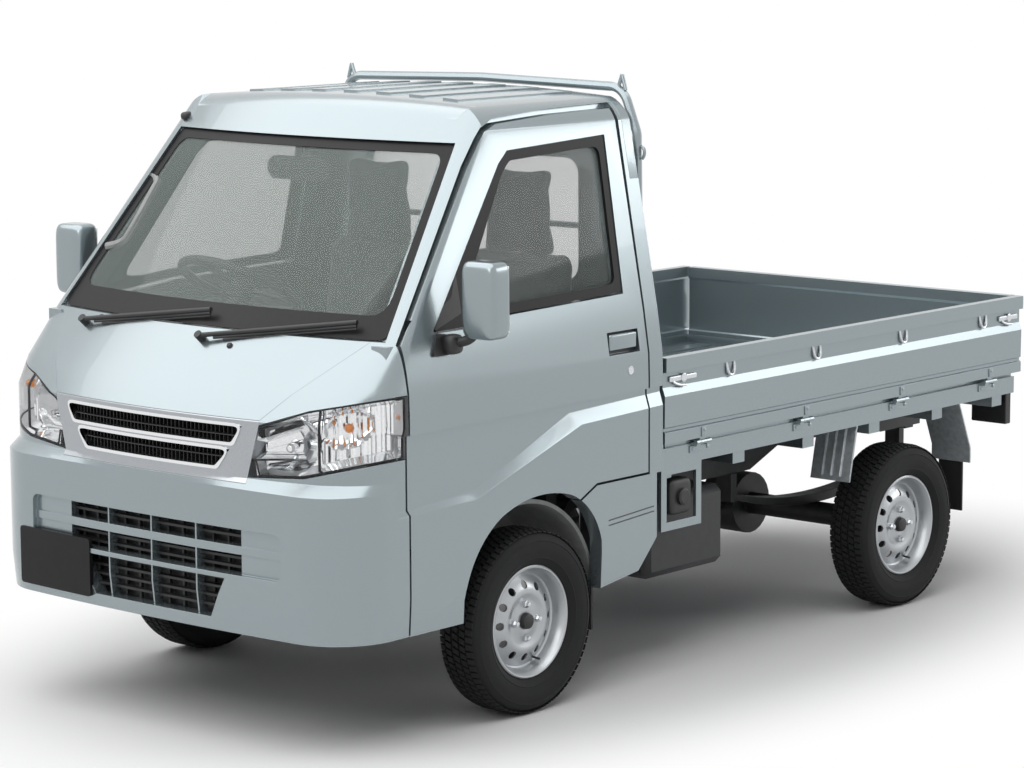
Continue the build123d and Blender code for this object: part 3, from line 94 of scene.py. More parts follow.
def add_node(tree, kind, inputs=None, operation=None):
    """A new node with its inputs."""
    made = tree.nodes.new(kind)
    if operation:
        made.operation = operation
    feed(tree, made, inputs or {})
    return made


def math_node(tree, operation, *values):
    """One step of arithmetic on outputs or plain numbers."""
    return add_node(tree, "ShaderNodeMath", dict(enumerate(values)), operation).outputs["Value"]


print("helpers ready")

# %% [markdown]
# ## Camera
# The view was worked out from the wheels and the bed: a long lens, somewhat above the roof, from the
# front left. The three unit vectors below are the camera's own axes, written as columns of its matrix.

# %% Camera
AZIMUTH = radians(41.05)
ELEVATION = radians(8.525)
ROLL = radians(-0.272)
DISTANCE = 10.4476
TARGET = Vector((0, 0, 0.8))
SIDE_SHIFT = -0.0870
LIFT = -0.0040
LENS = 115.0
SENSOR = 36.0

back = Vector((sin(AZIMUTH) * cos(ELEVATION), -cos(AZIMUTH) * cos(ELEVATION), sin(ELEVATION)))
level = Vector((cos(AZIMUTH), sin(AZIMUTH), 0))
upright = back.cross(level)
right = level * cos(ROLL) + upright * sin(ROLL)
up = upright * cos(ROLL) - level * sin(ROLL)
camera_data = bpy.data.cameras.new("camera")
camera_data.lens = LENS
camera_data.sensor_width = SENSOR
camera_data.clip_end = 100
camera = placed("camera", camera_data)
eye = TARGET + back * DISTANCE + right * SIDE_SHIFT + up * LIFT
camera.matrix_world = Matrix.Translation(eye) @ Matrix((right, up, back)).transposed().to_4x4()
bpy.context.scene.camera = camera
bpy.context.scene.view_settings.view_transform = "Standard"
print("camera at", tuple(round(v, 3) for v in eye))

# %% [markdown]
# ## Floor and light
# A car studio has a pale floor that runs up into the wall, one very large soft light overhead and
# smaller ones at the front and the rear. The world gives the even fill. Rays that come from the camera,
# from glossy paint or through glass see a white backdrop. The floor takes the truck's shadow close by
# and turns into the same white further out, so no horizon shows.

# %% Backdrop
FILL_STRENGTH = 0.1
BACKDROP_STRENGTH = 1.0


def shown_ray(tree):
    """1 for rays that look at the backdrop, 0 for rays that only carry light."""
    path = add_node(tree, "ShaderNodeLightPath").outputs
    seen = math_node(tree, "MAXIMUM", path["Is Camera Ray"], path["Is Glossy Ray"])
    return math_node(tree, "MAXIMUM", seen, path["Is Transmission Ray"])


world = bpy.data.worlds.new("studio")
world.use_nodes = True
bpy.context.scene.world = world
tree = world.node_tree
levels = {"Value": shown_ray(tree), "To Min": FILL_STRENGTH, "To Max": BACKDROP_STRENGTH}
strength = add_node(tree, "ShaderNodeMapRange", levels).outputs["Result"]
feed(tree, tree.nodes["Background"], {"Color": (1, 1, 1, 1), "Strength": strength})
print("backdrop ready")

# %% Lights
SOFT_BOXES = (
    # name, place, size, watts
    ("ceiling", (-0.4, -2.0, 5.2), (10.0, 9.0), 480.0),
    ("front", (3.0, -8.0, 4.0), (4.0, 2.0), 40.0),
    ("flank", (4.9, 6.2, 3.3), (6.0, 1.9), 115.0),
)
for name, place, size, watts in SOFT_BOXES:
    lamp_data = bpy.data.lights.new(name, "AREA")
    lamp_data.shape = "RECTANGLE"
    lamp_data.size, lamp_data.size_y = size
    lamp_data.energy = watts
    lamp = placed(name, lamp_data)
    lamp.location = place
    lamp.rotation_euler = (TARGET - Vector(place)).to_track_quat("-Z", "Y").to_euler()
print("lights", len(SOFT_BOXES))

# %% Floor
FLOOR_SIZE = 60.0
FLOOR_GREY = 0.9
FLOOR_ROUGHNESS = 0.7
FLOOR_FADE = (1.4, 2.4)
FLOOR_OVAL = (1.5, 0.8, 1.0)

half = FLOOR_SIZE / 2
corners = [(-half, -half, 0), (half, -half, 0), (half, half, 0), (-half, half, 0)]
floor_mesh = bpy.data.meshes.new("floor")
floor_mesh.from_pydata(corners, [], [(0, 1, 2, 3)])
floor = placed("floor", floor_mesh)
floor_finish = bpy.data.materials.new("studio_floor")
floor_finish.use_nodes = True
tree = floor_finish.node_tree
shader = tree.nodes["Principled BSDF"]
feed(tree, shader, {"Base Color": (FLOOR_GREY, FLOOR_GREY, FLOOR_GREY, 1), "Roughness": FLOOR_ROUGHNESS})
white = add_node(tree, "ShaderNodeEmission", {"Strength": BACKDROP_STRENGTH})
coords = add_node(tree, "ShaderNodeTexCoord").outputs["Object"]
oval = add_node(tree, "ShaderNodeVectorMath", {0: coords, 1: FLOOR_OVAL}, "MULTIPLY")
reach = add_node(tree, "ShaderNodeVectorMath", {0: oval.outputs["Vector"]}, "LENGTH")
limits = {"Value": reach.outputs["Value"], "From Min": FLOOR_FADE[0], "From Max": FLOOR_FADE[1]}
fade = add_node(tree, "ShaderNodeMapRange", limits)
fade.interpolation_type = "SMOOTHSTEP"
share = math_node(tree, "MULTIPLY", fade.outputs["Result"], shown_ray(tree))
both = {"Fac": share, 1: shader.outputs["BSDF"], 2: white.outputs["Emission"]}
blend = add_node(tree, "ShaderNodeMixShader", both)
feed(tree, tree.nodes["Material Output"], {"Surface": blend.outputs["Shader"]})
floor_mesh.materials.append(floor_finish)
print("floor", FLOOR_SIZE)

# %% [markdown]
# ## Finishes
# Each real surface varies a little: lacquer has flakes, plastic has grain, rubber is dusty. One
# helper builds such a finish from two noises in Object coordinates, a broad one for the colour and
# the gloss and a fine one for the relief. Numbers that are the same all over sit on the shader itself.

# %% Finish helper
RAMP_STOPS = (0.35, 0.65)
NOISE_DETAIL = 4
RELIEF_DEPTH = 0.001


def emboss(tree, height, strength):
    """Gives a surface relief from a pattern of heights."""
    values = {"Height": height, "Strength": strength, "Distance": RELIEF_DEPTH}
    relief = add_node(tree, "ShaderNodeBump", values)
    feed(tree, tree.nodes["Principled BSDF"], {"Normal": relief.outputs["Normal"]})


def finish(name, color, roughness, metallic=0.0, coat=0.0, shine=0.5, scale=40.0, spread=0.06, grain=0.0,
           grain_scale=900.0):
    """A noise-varied surface; spread is the change in colour and gloss, grain the strength of the relief."""
    material = bpy.data.materials.new(name)
    material.use_nodes = True
    tree = material.node_tree
    less, more = 1 - spread, 1 + spread
    coords = add_node(tree, "ShaderNodeTexCoord").outputs["Object"]
    pattern = {"Vector": coords, "Scale": scale, "Detail": NOISE_DETAIL}
    noise = add_node(tree, "ShaderNodeTexNoise", pattern).outputs["Fac"]
    ramp = add_node(tree, "ShaderNodeValToRGB", {"Fac": noise})
    for stop, place, change in zip(ramp.color_ramp.elements, RAMP_STOPS, (less, more)):
        stop.position = place
        stop.color = (*(min(c * change, 1) for c in color), 1)
    levels = {"Value": noise, "To Min": roughness * less, "To Max": roughness * more}
    gloss = add_node(tree, "ShaderNodeMapRange", levels)
    feed(tree, tree.nodes["Principled BSDF"], {
        "Base Color": ramp.outputs["Color"],
        "Roughness": gloss.outputs["Result"],
        "Metallic": metallic,
        "Coat Weight": coat,
        "Specular IOR Level": shine,
    })
    if grain:
        fine = add_node(tree, "ShaderNodeTexNoise", {"Vector": coords, "Scale": grain_scale})
        emboss(tree, fine.outputs["Fac"], grain)
    return material


SILVER = (0.290, 0.338, 0.356)
lacquer = finish("silver_lacquer", SILVER, 0.25, metallic=0.75, coat=0.5, scale=700, spread=0.05)
bed_lacquer = finish("bed_lacquer", SILVER, 0.3, metallic=0.8, coat=0.3, scale=500, spread=0.06)
frame_black = finish("chassis_black", (0.025, 0.026, 0.028), 0.5, scale=30, spread=0.25, grain=0.15)
black_plastic = finish("grained_black", (0.018, 0.018, 0.019), 0.45, spread=0.2, grain=0.3, grain_scale=1400)
gloss_black = finish("gloss_black", (0.010, 0.010, 0.011), 0.4, shine=0.2, spread=0.15)
grey_plastic = finish("dash_grey", (0.30, 0.31, 0.305), 0.6, spread=0.08, grain=0.25, grain_scale=1500)
rubber = finish("tyre_rubber", (0.010, 0.0105, 0.011), 0.75, shine=0.3, scale=120, spread=0.25, grain=0.2,
                grain_scale=600)
flap_rubber = finish("flap_rubber", (0.012, 0.012, 0.013), 0.65, scale=60, spread=0.2, grain=0.2)
chrome = finish("bright_trim", (0.78, 0.79, 0.80), 0.12, metallic=1.0, scale=300, spread=0.03)
satin_chrome = finish("satin_trim", (0.40, 0.42, 0.44), 0.28, metallic=1.0, scale=300, spread=0.05)
reflector = finish("lamp_reflector", (0.86, 0.87, 0.88), 0.10, metallic=1.0, scale=200, spread=0.04)
wheel_silver = finish("wheel_silver", (0.42, 0.44, 0.455), 0.36, metallic=0.8, coat=0.3, scale=500)
zinc = finish("zinc_plate", (0.62, 0.64, 0.66), 0.32, metallic=1.0, scale=200, spread=0.1)
cast_iron = finish("cast_metal", (0.07, 0.07, 0.073), 0.6, metallic=0.6, scale=80, spread=0.2, grain=0.3)
exhaust_steel = finish("exhaust_steel", (0.28, 0.26, 0.24), 0.45, metallic=0.9, scale=25, spread=0.25)
red_lens = finish("red_lens", (0.35, 0.015, 0.012), 0.15, coat=0.6, scale=90, spread=0.12)
amber = finish("amber_bulb", (0.9, 0.28, 0.03), 0.2, coat=0.4, scale=90, spread=0.1)
galvanised = finish("galvanised_sheet", (0.46, 0.50, 0.52), 0.4, metallic=0.5, scale=60, spread=0.12)
print("finishes", len(bpy.data.materials))

# %% [markdown]
# Woven seat cloth shows two crossing sets of threads. Two wave textures at right angles, added
# together, give the weave its relief.

# %% Seat cloth
THREAD = 0.0022


def cloth(name, color):
    """A plain weave."""
    material = finish(name, color, 0.85, scale=25, spread=0.18)
    tree = material.node_tree
    coords = add_node(tree, "ShaderNodeTexCoord").outputs["Object"]
    waves = []
    for direction in ("X", "Z"):
        wave = add_node(tree, "ShaderNodeTexWave", {"Vector": coords, "Scale": 1 / THREAD / 20 * pi})
        wave.bands_direction = direction
        waves.append(wave.outputs["Fac"])
    emboss(tree, math_node(tree, "ADD", *waves), 0.4)
    feed(tree, tree.nodes["Principled BSDF"], {"Sheen Weight": 0.3})
    return material


seat_cloth = cloth("seat_cloth", (0.085, 0.092, 0.098))
print("cloth", seat_cloth.name)

# %% [markdown]
# Window glass is nearly clear when seen straight on and turns into a mirror at a glancing angle.
# The Fresnel node drives the opacity, so the cab shows through and the edges pick up the studio.

# %% Glass
GLASS_IOR = 1.45


def glass(name, tint_and_sheen, clear, edge):
    """Thin glass; clear is its opacity seen straight on, edge at a glancing angle."""
    material = finish(name, tint_and_sheen, 0.03, shine=0.6, scale=3, spread=0.02)
    tree = material.node_tree
    facing = add_node(tree, "ShaderNodeFresnel", {"IOR": GLASS_IOR})
    levels = {"Value": facing.outputs["Fac"], "To Min": clear, "To Max": edge}
    opacity = add_node(tree, "ShaderNodeMapRange", levels)
    feed(tree, tree.nodes["Principled BSDF"], {"Alpha": opacity.outputs["Result"]})
    return material


# The window glass's pale grey-green is partly its own tint and partly painted reflection: lit as a plain
# colour, it stands for the white studio mirrored in the glass.
window_glass = glass("window_glass", (0.26, 0.31, 0.29), 0.05, 0.5)
lamp_glass = glass("lamp_glass", (0.5, 0.52, 0.53), 0.03, 0.7)
print("glass ready")

# %% [markdown]
# ## Sheet-metal skins
# A node of the frame is a heap of loose triangles, which shades in facets. A merged copy of it, with
# flat areas joined again, can be shaded smoothly up to a chosen angle and given a fine rounded edge
# that catches the light as pressed steel does. The roof's front edge is rounded wide, like a brow. The
# copy stands for the node and rides with its body.

# %% Skin helper
SLOT_OF = {part["node"]: part["material_slot"] for part in frame["record"]["subparts"]}


def settle(piece, body, surface=None):
    """Link a finished piece, give it its finish and let it ride on its body."""
    if not piece.users_collection:
        bpy.context.scene.collection.objects.link(piece)
    if surface:
        piece.data.materials.clear()
        piece.data.materials.append(surface)
    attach(piece, body)
    return piece


def smooth_by_angle(mesh, angle):
    """Smooth shading that breaks at edges sharper than the angle."""
    shape = bmesh.new()
    shape.from_mesh(mesh)
    for face in shape.faces:
        face.smooth = True
    for edge in shape.edges:
        edge.smooth = len(edge.link_faces) == 2 and edge.calc_face_angle(0) < radians(angle)
    shape.to_mesh(mesh)
    shape.free()


WELD = 1e-5
FLAT_ANGLE = 0.6
BROW_WIDTH = 0.045
BROW_STEPS = 6


def roof_brow(edge):
    """True for the edges between the roof's top and its front slope."""
    one, two = sorted((face.normal for face in edge.link_faces), key=lambda normal: normal.z)
    return two.z > 0.95 and -0.85 < one.y < -0.6


def skin(node, surface, angle=28, rounding=0.0, brow=None):
    """A merged, smoothly shaded copy of a node with rounded edges; brow picks edges to round wide."""
    mesh = frame["nodes"][node].data.copy()
    mesh.name = node + "_skin"
    shape = bmesh.new()
    shape.from_mesh(mesh)
    bmesh.ops.remove_doubles(shape, verts=shape.verts, dist=WELD)
    bmesh.ops.dissolve_limit(shape, angle_limit=radians(FLAT_ANGLE), verts=shape.verts, edges=shape.edges)
    if brow:
        wide = [e for e in shape.edges if len(e.link_faces) == 2 and brow(e)]
        print(node, "brow edges", len(wide))
        bmesh.ops.bevel(shape, geom=wide, offset=BROW_WIDTH, segments=BROW_STEPS, profile=0.5, affect="EDGES")
    shape.to_mesh(mesh)
    shape.free()
    if mesh.has_custom_normals:
        mesh.normals_split_custom_set([(0, 0, 0)] * len(mesh.loops))
    smooth_by_angle(mesh, angle)
    piece = bpy.data.objects.new(node + "_skin", mesh)
    if rounding:
        edge = piece.modifiers.new("rounded_edges", "BEVEL")
        edge.width = rounding
        edge.segments = 2
        edge.limit_method = "ANGLE"
        edge.angle_limit = radians(angle)
        edge.harden_normals = True
    settle(piece, BODY_OF[node], surface)
    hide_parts(node)
    return piece


# %% Skins
SKINS = (
    # finish, angle of smooth shading, rounding, nodes
    (lacquer, 15, 0.002, ("cab_side_left", "cab_side_right", "nose_panel", "rear_panel", "front_bumper",
                          "door_left", "door_right")),
    (lacquer, 28, 0.002, ("roof_panel",)),
    (bed_lacquer, 14, 0.003, ("side_gate_left", "side_gate_right", "tailgate")),
    (bed_lacquer, 35, 0.0015, ("bed_floor", "guard_frame")),
    (frame_black, 40, 0.002, ("chassis_frame", "rear_axle", "rear_springs", "front_suspension",
                              "propeller_shaft", "fuel_tank", "steering_rack")),
    (cast_iron, 40, 0.002, ("engine_block", "knuckle_left", "knuckle_right")),
    (grey_plastic, 35, 0.004, ("cab_floor", "dashboard")),
    (black_plastic, 50, 0.001, ("steering_wheel", "steering_column", "room_mirror", "wipers")),
    (exhaust_steel, 40, 0.0, ("exhaust",)),
    (flap_rubber, 28, 0.001, ("mudflaps",)),
    (galvanised, 28, 0.001, ("rear_fenders",)),
    (black_plastic, 28, 0.004, ("tail_lamps",)),
    (window_glass, 28, 0.0, ("windscreen", "rear_window", "door_glass_left", "door_glass_right")),
    (satin_chrome, 28, 0.002, ("grille",)),
)
BROWS = {"roof_panel": roof_brow}
for surface, angle, rounding, nodes in SKINS:
    for node in nodes:
        skin(node, surface, angle, rounding, BROWS.get(node))

# %% [markdown]
# ## Tools for fitted pieces
# Trim, seals and lamps follow the panels that carry them. A ray sent at a node finds the surface, so
# an outline drawn flat, as seen from the front or the side, can be laid on the curved panel. Small
# meshes of one finish are gathered into one piece, which rides on the body of the panel it sits on.

# %% Surface finding
TREES = {}


def cast(node, origin, direction):
    """Where a straight line first meets a node: the point and the surface's outward normal."""
    if node not in TREES:
        mesh = frame["nodes"][node].data
        faces = [face.vertices for face in mesh.polygons]
        TREES[node] = BVHTree.FromPolygons([vert.co for vert in mesh.vertices], faces)
    origin, direction = Vector(origin), Vector(direction).normalized()
    place, normal, _, _ = TREES[node].ray_cast(origin, direction)
    if place is None:
        place, normal, _, _ = TREES[node].find_nearest(origin + direction * (origin.length - 0.9))
    return place, normal if normal.dot(direction) < 0 else -normal


def on_front(node):
    """Lays an x, z outline on a node, seen from the front."""
    return lambda point: cast(node, (point[0], -6, point[1]), (0, 1, 0))


def on_flank(node, side=1):
    """Lays a y, z outline on a node, seen from the left or the right."""
    return lambda point: cast(node, (side * 6, point[0], point[1]), (-side, 0, 0))


def rounded(corners, radius, arc=4, run=8):
    """A closed outline with round corners and a fixed number of points per corner and side."""
    arcs = []
    for i, corner in enumerate(corners):
        here = Vector(corner)
        back, ahead = (Vector(corners[j % len(corners)]) - here for j in (i - 1, i + 1))
        reach = min(radius / tan(back.angle(ahead) / 2), back.length * 0.45, ahead.length * 0.45)
        start, end = here + back.normalized() * reach, here + ahead.normalized() * reach
        shares = [step / arc for step in range(arc + 1)]
        arcs.append([start.lerp(here, share).lerp(here.lerp(end, share), share) for share in shares])
    points = []
    for this, following in zip(arcs, arcs[1:] + arcs[:1]):
        points += this + [this[-1].lerp(following[0], t / run) for t in range(1, run)]
    return points


print("surface tools ready")

# %% Mesh makers
def rings_mesh(rings, closed_rows, closed_columns=True):
    """A skin over rows of points that all have the same length."""
    shape = bmesh.new()
    rows = [[shape.verts.new(point) for point in ring] for ring in rings]
    pairs = list(zip(rows, rows[1:] + rows[:1])) if closed_rows else list(zip(rows, rows[1:]))
    for low, high in pairs:
        count = len(low) if closed_columns else len(low) - 1
        for i in range(count):
            j = (i + 1) % len(low)
            shape.faces.new((low[i], low[j], high[j], high[i]))
    return shape


def to_mesh(shape, weld=1e-6):
    """A plain mesh from a shape, with its doubles merged and its faces turned outwards."""
    bmesh.ops.remove_doubles(shape, verts=shape.verts, dist=weld)
    bmesh.ops.delete(shape, geom=[edge for edge in shape.edges if not edge.link_faces], context="EDGES")
    bmesh.ops.recalc_face_normals(shape, faces=shape.faces)
    mesh = bpy.data.meshes.new("shape")
    shape.to_mesh(mesh)
    shape.free()
    return mesh


def band(outer, inner, place, lift, depth):
    """A flat strip between two outlines, laid on a surface, with a front and a back."""
    rings = []
    for outline, height in ((outer, lift), (inner, lift), (inner, -depth), (outer, -depth)):
        laid = [place(point) for point in outline]
        rings.append([spot + normal * height for spot, normal in laid])
    return to_mesh(rings_mesh(rings, True))


def plate(outline, place, lift, depth):
    """A flat plate of the given outline, laid on a surface."""
    centre = sum(outline, Vector((0, 0))) / len(outline)
    return band(outline, [centre] * len(outline), place, lift, depth)


def turned(profile, steps=72, closed=False):
    """A profile of (height, radius) turned about the Z axis."""
    rings = []
    for height, radius in profile:
        turns = [2 * pi * i / steps for i in range(steps)]
        rings.append([(radius * cos(t), radius * sin(t), height) for t in turns])
    return to_mesh(rings_mesh(rings, closed))


def wire(points, thickness, smooth=True):
    """A round bar bent along the points."""
    curve = bpy.data.curves.new("wire", "CURVE")
    curve.dimensions = "3D"
    curve.bevel_depth = thickness
    curve.bevel_resolution = 2
    curve.use_fill_caps = True
    spline = curve.splines.new("NURBS" if smooth else "POLY")
    spline.points.add(len(points) - 1)
    for point, place in zip(spline.points, points):
        point.co = (*place, 1)
    if smooth:
        spline.order_u = 3
        spline.use_endpoint_u = True
    holder = bpy.data.objects.new("wire", curve)
    mesh = bpy.data.meshes.new_from_object(holder)
    bpy.data.objects.remove(holder)
    bpy.data.curves.remove(curve)
    return mesh


def brick(low, high, rounding=0.002, segments=2):
    """A block between two corners with rounded edges."""
    shape = bmesh.new()
    low, high = Vector(low), Vector(high)
    bmesh.ops.create_cube(shape, size=1.0)
    for vert in shape.verts:
        vert.co = Vector(l + (h - l) * (c + 0.5) for l, h, c in zip(low, high, vert.co))
    bmesh.ops.bevel(shape, geom=shape.edges[:], offset=rounding, segments=segments, profile=0.5,
                    affect="EDGES")
    return to_mesh(shape)


def moved(mesh, matrix):
    """The mesh in another place."""
    copy = mesh.copy()
    copy.transform(matrix)
    return copy


def mirrored(mesh):
    """The same mesh on the other side of the truck."""
    shape = bmesh.new()
    shape.from_mesh(mesh)
    for vert in shape.verts:
        vert.co.x = -vert.co.x
    bmesh.ops.reverse_faces(shape, faces=shape.faces)
    return to_mesh(shape)


SIDES = ((1, "left"), (-1, "right"))


def sided(meshes, side):
    """Copies of the left side's meshes, for the left or the right side."""
    return [mesh.copy() if side > 0 else mirrored(mesh) for mesh in meshes]


def stood(mesh, place, direction):
    """The mesh in another place, its Z axis turned to a direction."""
    return moved(mesh, Matrix.Translation(place) @ direction.to_track_quat("Z", "Y").to_matrix().to_4x4())


def facing_left(mesh, place):
    """The mesh in another place, its Z axis pointing out to the truck's left."""
    return moved(mesh, Matrix.Translation(place) @ Matrix.Rotation(pi / 2, 4, "Y"))


def applied(holder):
    """The object's mesh with its modifiers applied."""
    return bpy.data.meshes.new_from_object(holder.evaluated_get(bpy.context.evaluated_depsgraph_get()))


def piece(name, meshes, body, surface, slot, angle=32):
    """One piece from several meshes of one finish."""
    shape = bmesh.new()
    for mesh in meshes:
        shape.from_mesh(mesh)
        if mesh.users == 0:
            bpy.data.meshes.remove(mesh)
    mesh = bpy.data.meshes.new(name)
    shape.to_mesh(mesh)
    shape.free()
    smooth_by_angle(mesh, angle)
    return settle(bpy.data.objects.new(name, mesh), body, surface)


print("mesh makers ready")

# %% [markdown]
# ## Geometry Nodes for what repeats
# Two small trees do all the repeating: a ring of copies round an axis, for tread blocks, wheel nuts
# and rim holes, and a row of copies along a bowed line, for the fins and slats of the front. The
# shape to repeat is the object's own mesh. Each tree ends in Realize Instances and Set Material, and
# its result is turned into a plain mesh.

# %% Repeating trees
def repeat_tree(name, *sockets):
    """A tree with a shape, the named inputs and a realised, surfaced output; its inputs and its copies."""
    tree = bpy.data.node_groups.new(name, "GeometryNodeTree")
    for label, kind in (("Shape", "Geometry"), *sockets, ("Surface", "Material")):
        tree.interface.new_socket(label, in_out="INPUT", socket_type="NodeSocket" + kind)
    tree.interface.new_socket("Result", in_out="OUTPUT", socket_type="NodeSocketGeometry")
    source = add_node(tree, "NodeGroupInput").outputs
    copies = add_node(tree, "GeometryNodeInstanceOnPoints", {"Instance": source["Shape"]})
    plain = add_node(tree, "GeometryNodeRealizeInstances", {"Geometry": copies.outputs["Instances"]})
    dress = {"Geometry": plain.outputs["Geometry"], "Material": source["Surface"]}
    dressed = add_node(tree, "GeometryNodeSetMaterial", dress)
    add_node(tree, "NodeGroupOutput", {"Result": dressed.outputs["Geometry"]})
    return tree, source, copies


ring_tree, source, copies = repeat_tree("ring_of_copies", ("Count", "Int"), ("Radius", "Float"))
ring = {"Vertices": source["Count"], "Radius": source["Radius"]}
circle = add_node(ring_tree, "GeometryNodeMeshCircle", ring)
index = add_node(ring_tree, "GeometryNodeInputIndex").outputs["Index"]
turn = math_node(ring_tree, "DIVIDE", math_node(ring_tree, "MULTIPLY", index, 2 * pi), source["Count"])
spin = add_node(ring_tree, "ShaderNodeCombineXYZ", {"Z": turn})
feed(ring_tree, copies, {"Points": circle.outputs["Mesh"], "Rotation": spin.outputs["Vector"]})

row_tree, source, copies = repeat_tree(
    "row_on_a_bow", ("Count", "Int"), ("Step", "Vector"), ("Start", "Vector"), ("Bow Radius", "Float"))
course = {"Count": source["Count"], "Start Location": source["Start"], "Offset": source["Step"]}
line = add_node(row_tree, "GeometryNodeMeshLine", course)
position = add_node(row_tree, "GeometryNodeInputPosition")
x = add_node(row_tree, "ShaderNodeSeparateXYZ", {"Vector": position.outputs["Position"]}).outputs["X"]
radius = source["Bow Radius"]
radius_squared = math_node(row_tree, "MULTIPLY", radius, radius)
x_squared = math_node(row_tree, "MULTIPLY", x, x)
depth = math_node(row_tree, "SQRT", math_node(row_tree, "SUBTRACT", radius_squared, x_squared))
sag = add_node(row_tree, "ShaderNodeCombineXYZ", {"Y": math_node(row_tree, "SUBTRACT", radius, depth)})
bent = {"Geometry": line.outputs["Mesh"], "Offset": sag.outputs["Vector"]}
bend = add_node(row_tree, "GeometryNodeSetPosition", bent)
feed(row_tree, copies, {"Points": bend.outputs["Geometry"]})


def repeated(mesh, tree, surface, **values):
    """The mesh repeated by a tree, as one plain mesh."""
    holder = placed("repeat", mesh)
    step = holder.modifiers.new("repeat", "NODES")
    step.node_group = tree
    values["Surface"] = surface
    for item in tree.interface.items_tree:
        if item.in_out == "INPUT" and item.name.replace(" ", "_") in values:
            step[item.identifier] = values[item.name.replace(" ", "_")]
    holder.update_tag()
    result = applied(holder)
    bpy.data.objects.remove(holder)
    return result


print("trees", ring_tree.name, row_tree.name)

# %% [markdown]
# ## Wheels
# Each wheel is drawn once about the Z axis, with Z pointing out of the truck, and then set at its
# four places. The tyre is a turned profile with raised tread blocks: five staggered rows, repeated
# round the ring. The pressed steel wheel is a turned profile whose vent holes are cut by a Boolean,
# with its nuts set in a ring round the black cap.

# %% Tyre and wheel shapes
TYRE_RADIUS = (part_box("tyre_front_left")[1][2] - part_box("tyre_front_left")[0][2]) / 2
TREAD_DEPTH = 0.007
TREAD_PITCHES = 76
TYRE_PROFILE = (
    # height along the axle, radius
    (0.048, 0.160), (0.053, 0.169), (0.057, 0.172), (0.0655, 0.186), (0.0675, 0.188), (0.0668, 0.190),
    (0.0712, 0.208), (0.0718, 0.220), (0.070, 0.236), (0.0712, 0.2375), (0.070, 0.2395), (0.0655, 0.250),
    (0.0585, 0.258), (0.050, 0.2615), (0.025, TYRE_RADIUS - TREAD_DEPTH),
)
TREAD_ROWS = (
    # centre along the axle, half width, shift round the ring in pitches, skew, drop at the outer edge
    (-0.0500, 0.0105, 0.0, 0.0015, 0.0050),
    (-0.0265, 0.0100, 0.5, 0.0035, 0.0),
    (0.0, 0.0105, 0.2, 0.0045, 0.0),
    (0.0265, 0.0100, 0.7, 0.0035, 0.0),
    (0.0500, 0.0105, 0.4, 0.0015, 0.0050),
)


def tread_pitch():
    """The blocks of one tread pitch, on the X axis at the tread's radius."""
    shape = bmesh.new()
    pitch = 2 * pi * TYRE_RADIUS / TREAD_PITCHES
    half = pitch * 0.37
    for centre, width, shift, skew, drop in TREAD_ROWS:
        corners = []
        for rise, grow in ((-0.002, 1.12), (TREAD_DEPTH - 0.0006, 0.96)):
            for along, across in ((-1, -1), (1, -1), (1, 1), (-1, 1)):
                outer = across * centre > 0
                height = rise - (drop if outer and rise > 0 else 0)
                turn = (along * half * grow + across * skew + shift * pitch) / TYRE_RADIUS
                radius = TYRE_RADIUS - TREAD_DEPTH + height
                corners.append(shape.verts.new(
                    (radius * cos(turn) - TYRE_RADIUS, radius * sin(turn), centre + across * width * grow)))
        for face in ((3, 2, 1, 0), (4, 5, 6, 7), (0, 1, 5, 4), (1, 2, 6, 5), (2, 3, 7, 6), (3, 0, 4, 7)):
            shape.faces.new([corners[i] for i in face])
    return to_mesh(shape)


tyre_profile = [*TYRE_PROFILE, *((-height, radius) for height, radius in reversed(TYRE_PROFILE))]
tyre_shape = turned(tyre_profile, steps=96, closed=True)
tread = repeated(tread_pitch(), ring_tree, rubber, Count=TREAD_PITCHES, Radius=TYRE_RADIUS)
print("tread faces", len(tread.polygons))

# %% Steel wheel
DISC_PROFILE = (
    # height along the axle, radius
    (0.044, 0.149), (0.050, 0.1535), (0.055, 0.1575), (0.056, 0.162), (0.0535, 0.1655), (0.051, 0.165),
    (0.0485, 0.160), (0.044, 0.1545), (0.030, 0.1515), (-0.040, 0.1515), (-0.048, 0.156), (-0.053, 0.165),
    (-0.0555, 0.165), (-0.0555, 0.160), (-0.050, 0.150), (-0.040, 0.1465), (0.006, 0.1465), (0.006, 0.138),
    (0.009, 0.128), (0.018, 0.115), (0.028, 0.098), (0.032, 0.086), (0.030, 0.076), (0.026, 0.068),
    (0.025, 0.056), (0.029, 0.040), (0.029, 0.0245), (0.034, 0.0245), (0.035, 0.029), (0.034, 0.041),
    (0.030, 0.057), (0.031, 0.067), (0.0355, 0.076), (0.0375, 0.086), (0.0335, 0.099), (0.023, 0.1165),
    (0.014, 0.129), (0.012, 0.135), (0.016, 0.140), (0.030, 0.144),
)
VENTS = 12
VENT_RADIUS = 0.0115
VENT_CIRCLE = 0.1065
NUTS = 4
NUT_CIRCLE = 0.050

wheel_shape = turned(DISC_PROFILE, steps=96, closed=True)
vent_profile = ((-0.01, 0), (-0.01, VENT_RADIUS), (0.06, VENT_RADIUS), (0.06, 0))
vent_shape = turned(vent_profile, steps=20)
vents = repeated(vent_shape, ring_tree, wheel_silver, Count=VENTS, Radius=VENT_CIRCLE)
wheel_object = placed("wheel_blank", wheel_shape)
vent_object = placed("wheel_vents", vents)
cutter = wheel_object.modifiers.new("vents", "BOOLEAN")
cutter.object = vent_object
cutter.solver = "EXACT"
wheel_shape = applied(wheel_object)
for blank in (wheel_object, vent_object):
    bpy.data.objects.remove(blank)
NUT_PROFILE = ((0.028, 0), (0.028, 0.0115), (0.040, 0.0112), (0.043, 0.0088), (0.049, 0.0070), (0.051, 0))
CAP_PROFILE = ((0.020, 0.0235), (0.040, 0.0235), (0.0470, 0.0215), (0.0500, 0.0150), (0.0505, 0))
nut_shape = turned(NUT_PROFILE, steps=6)
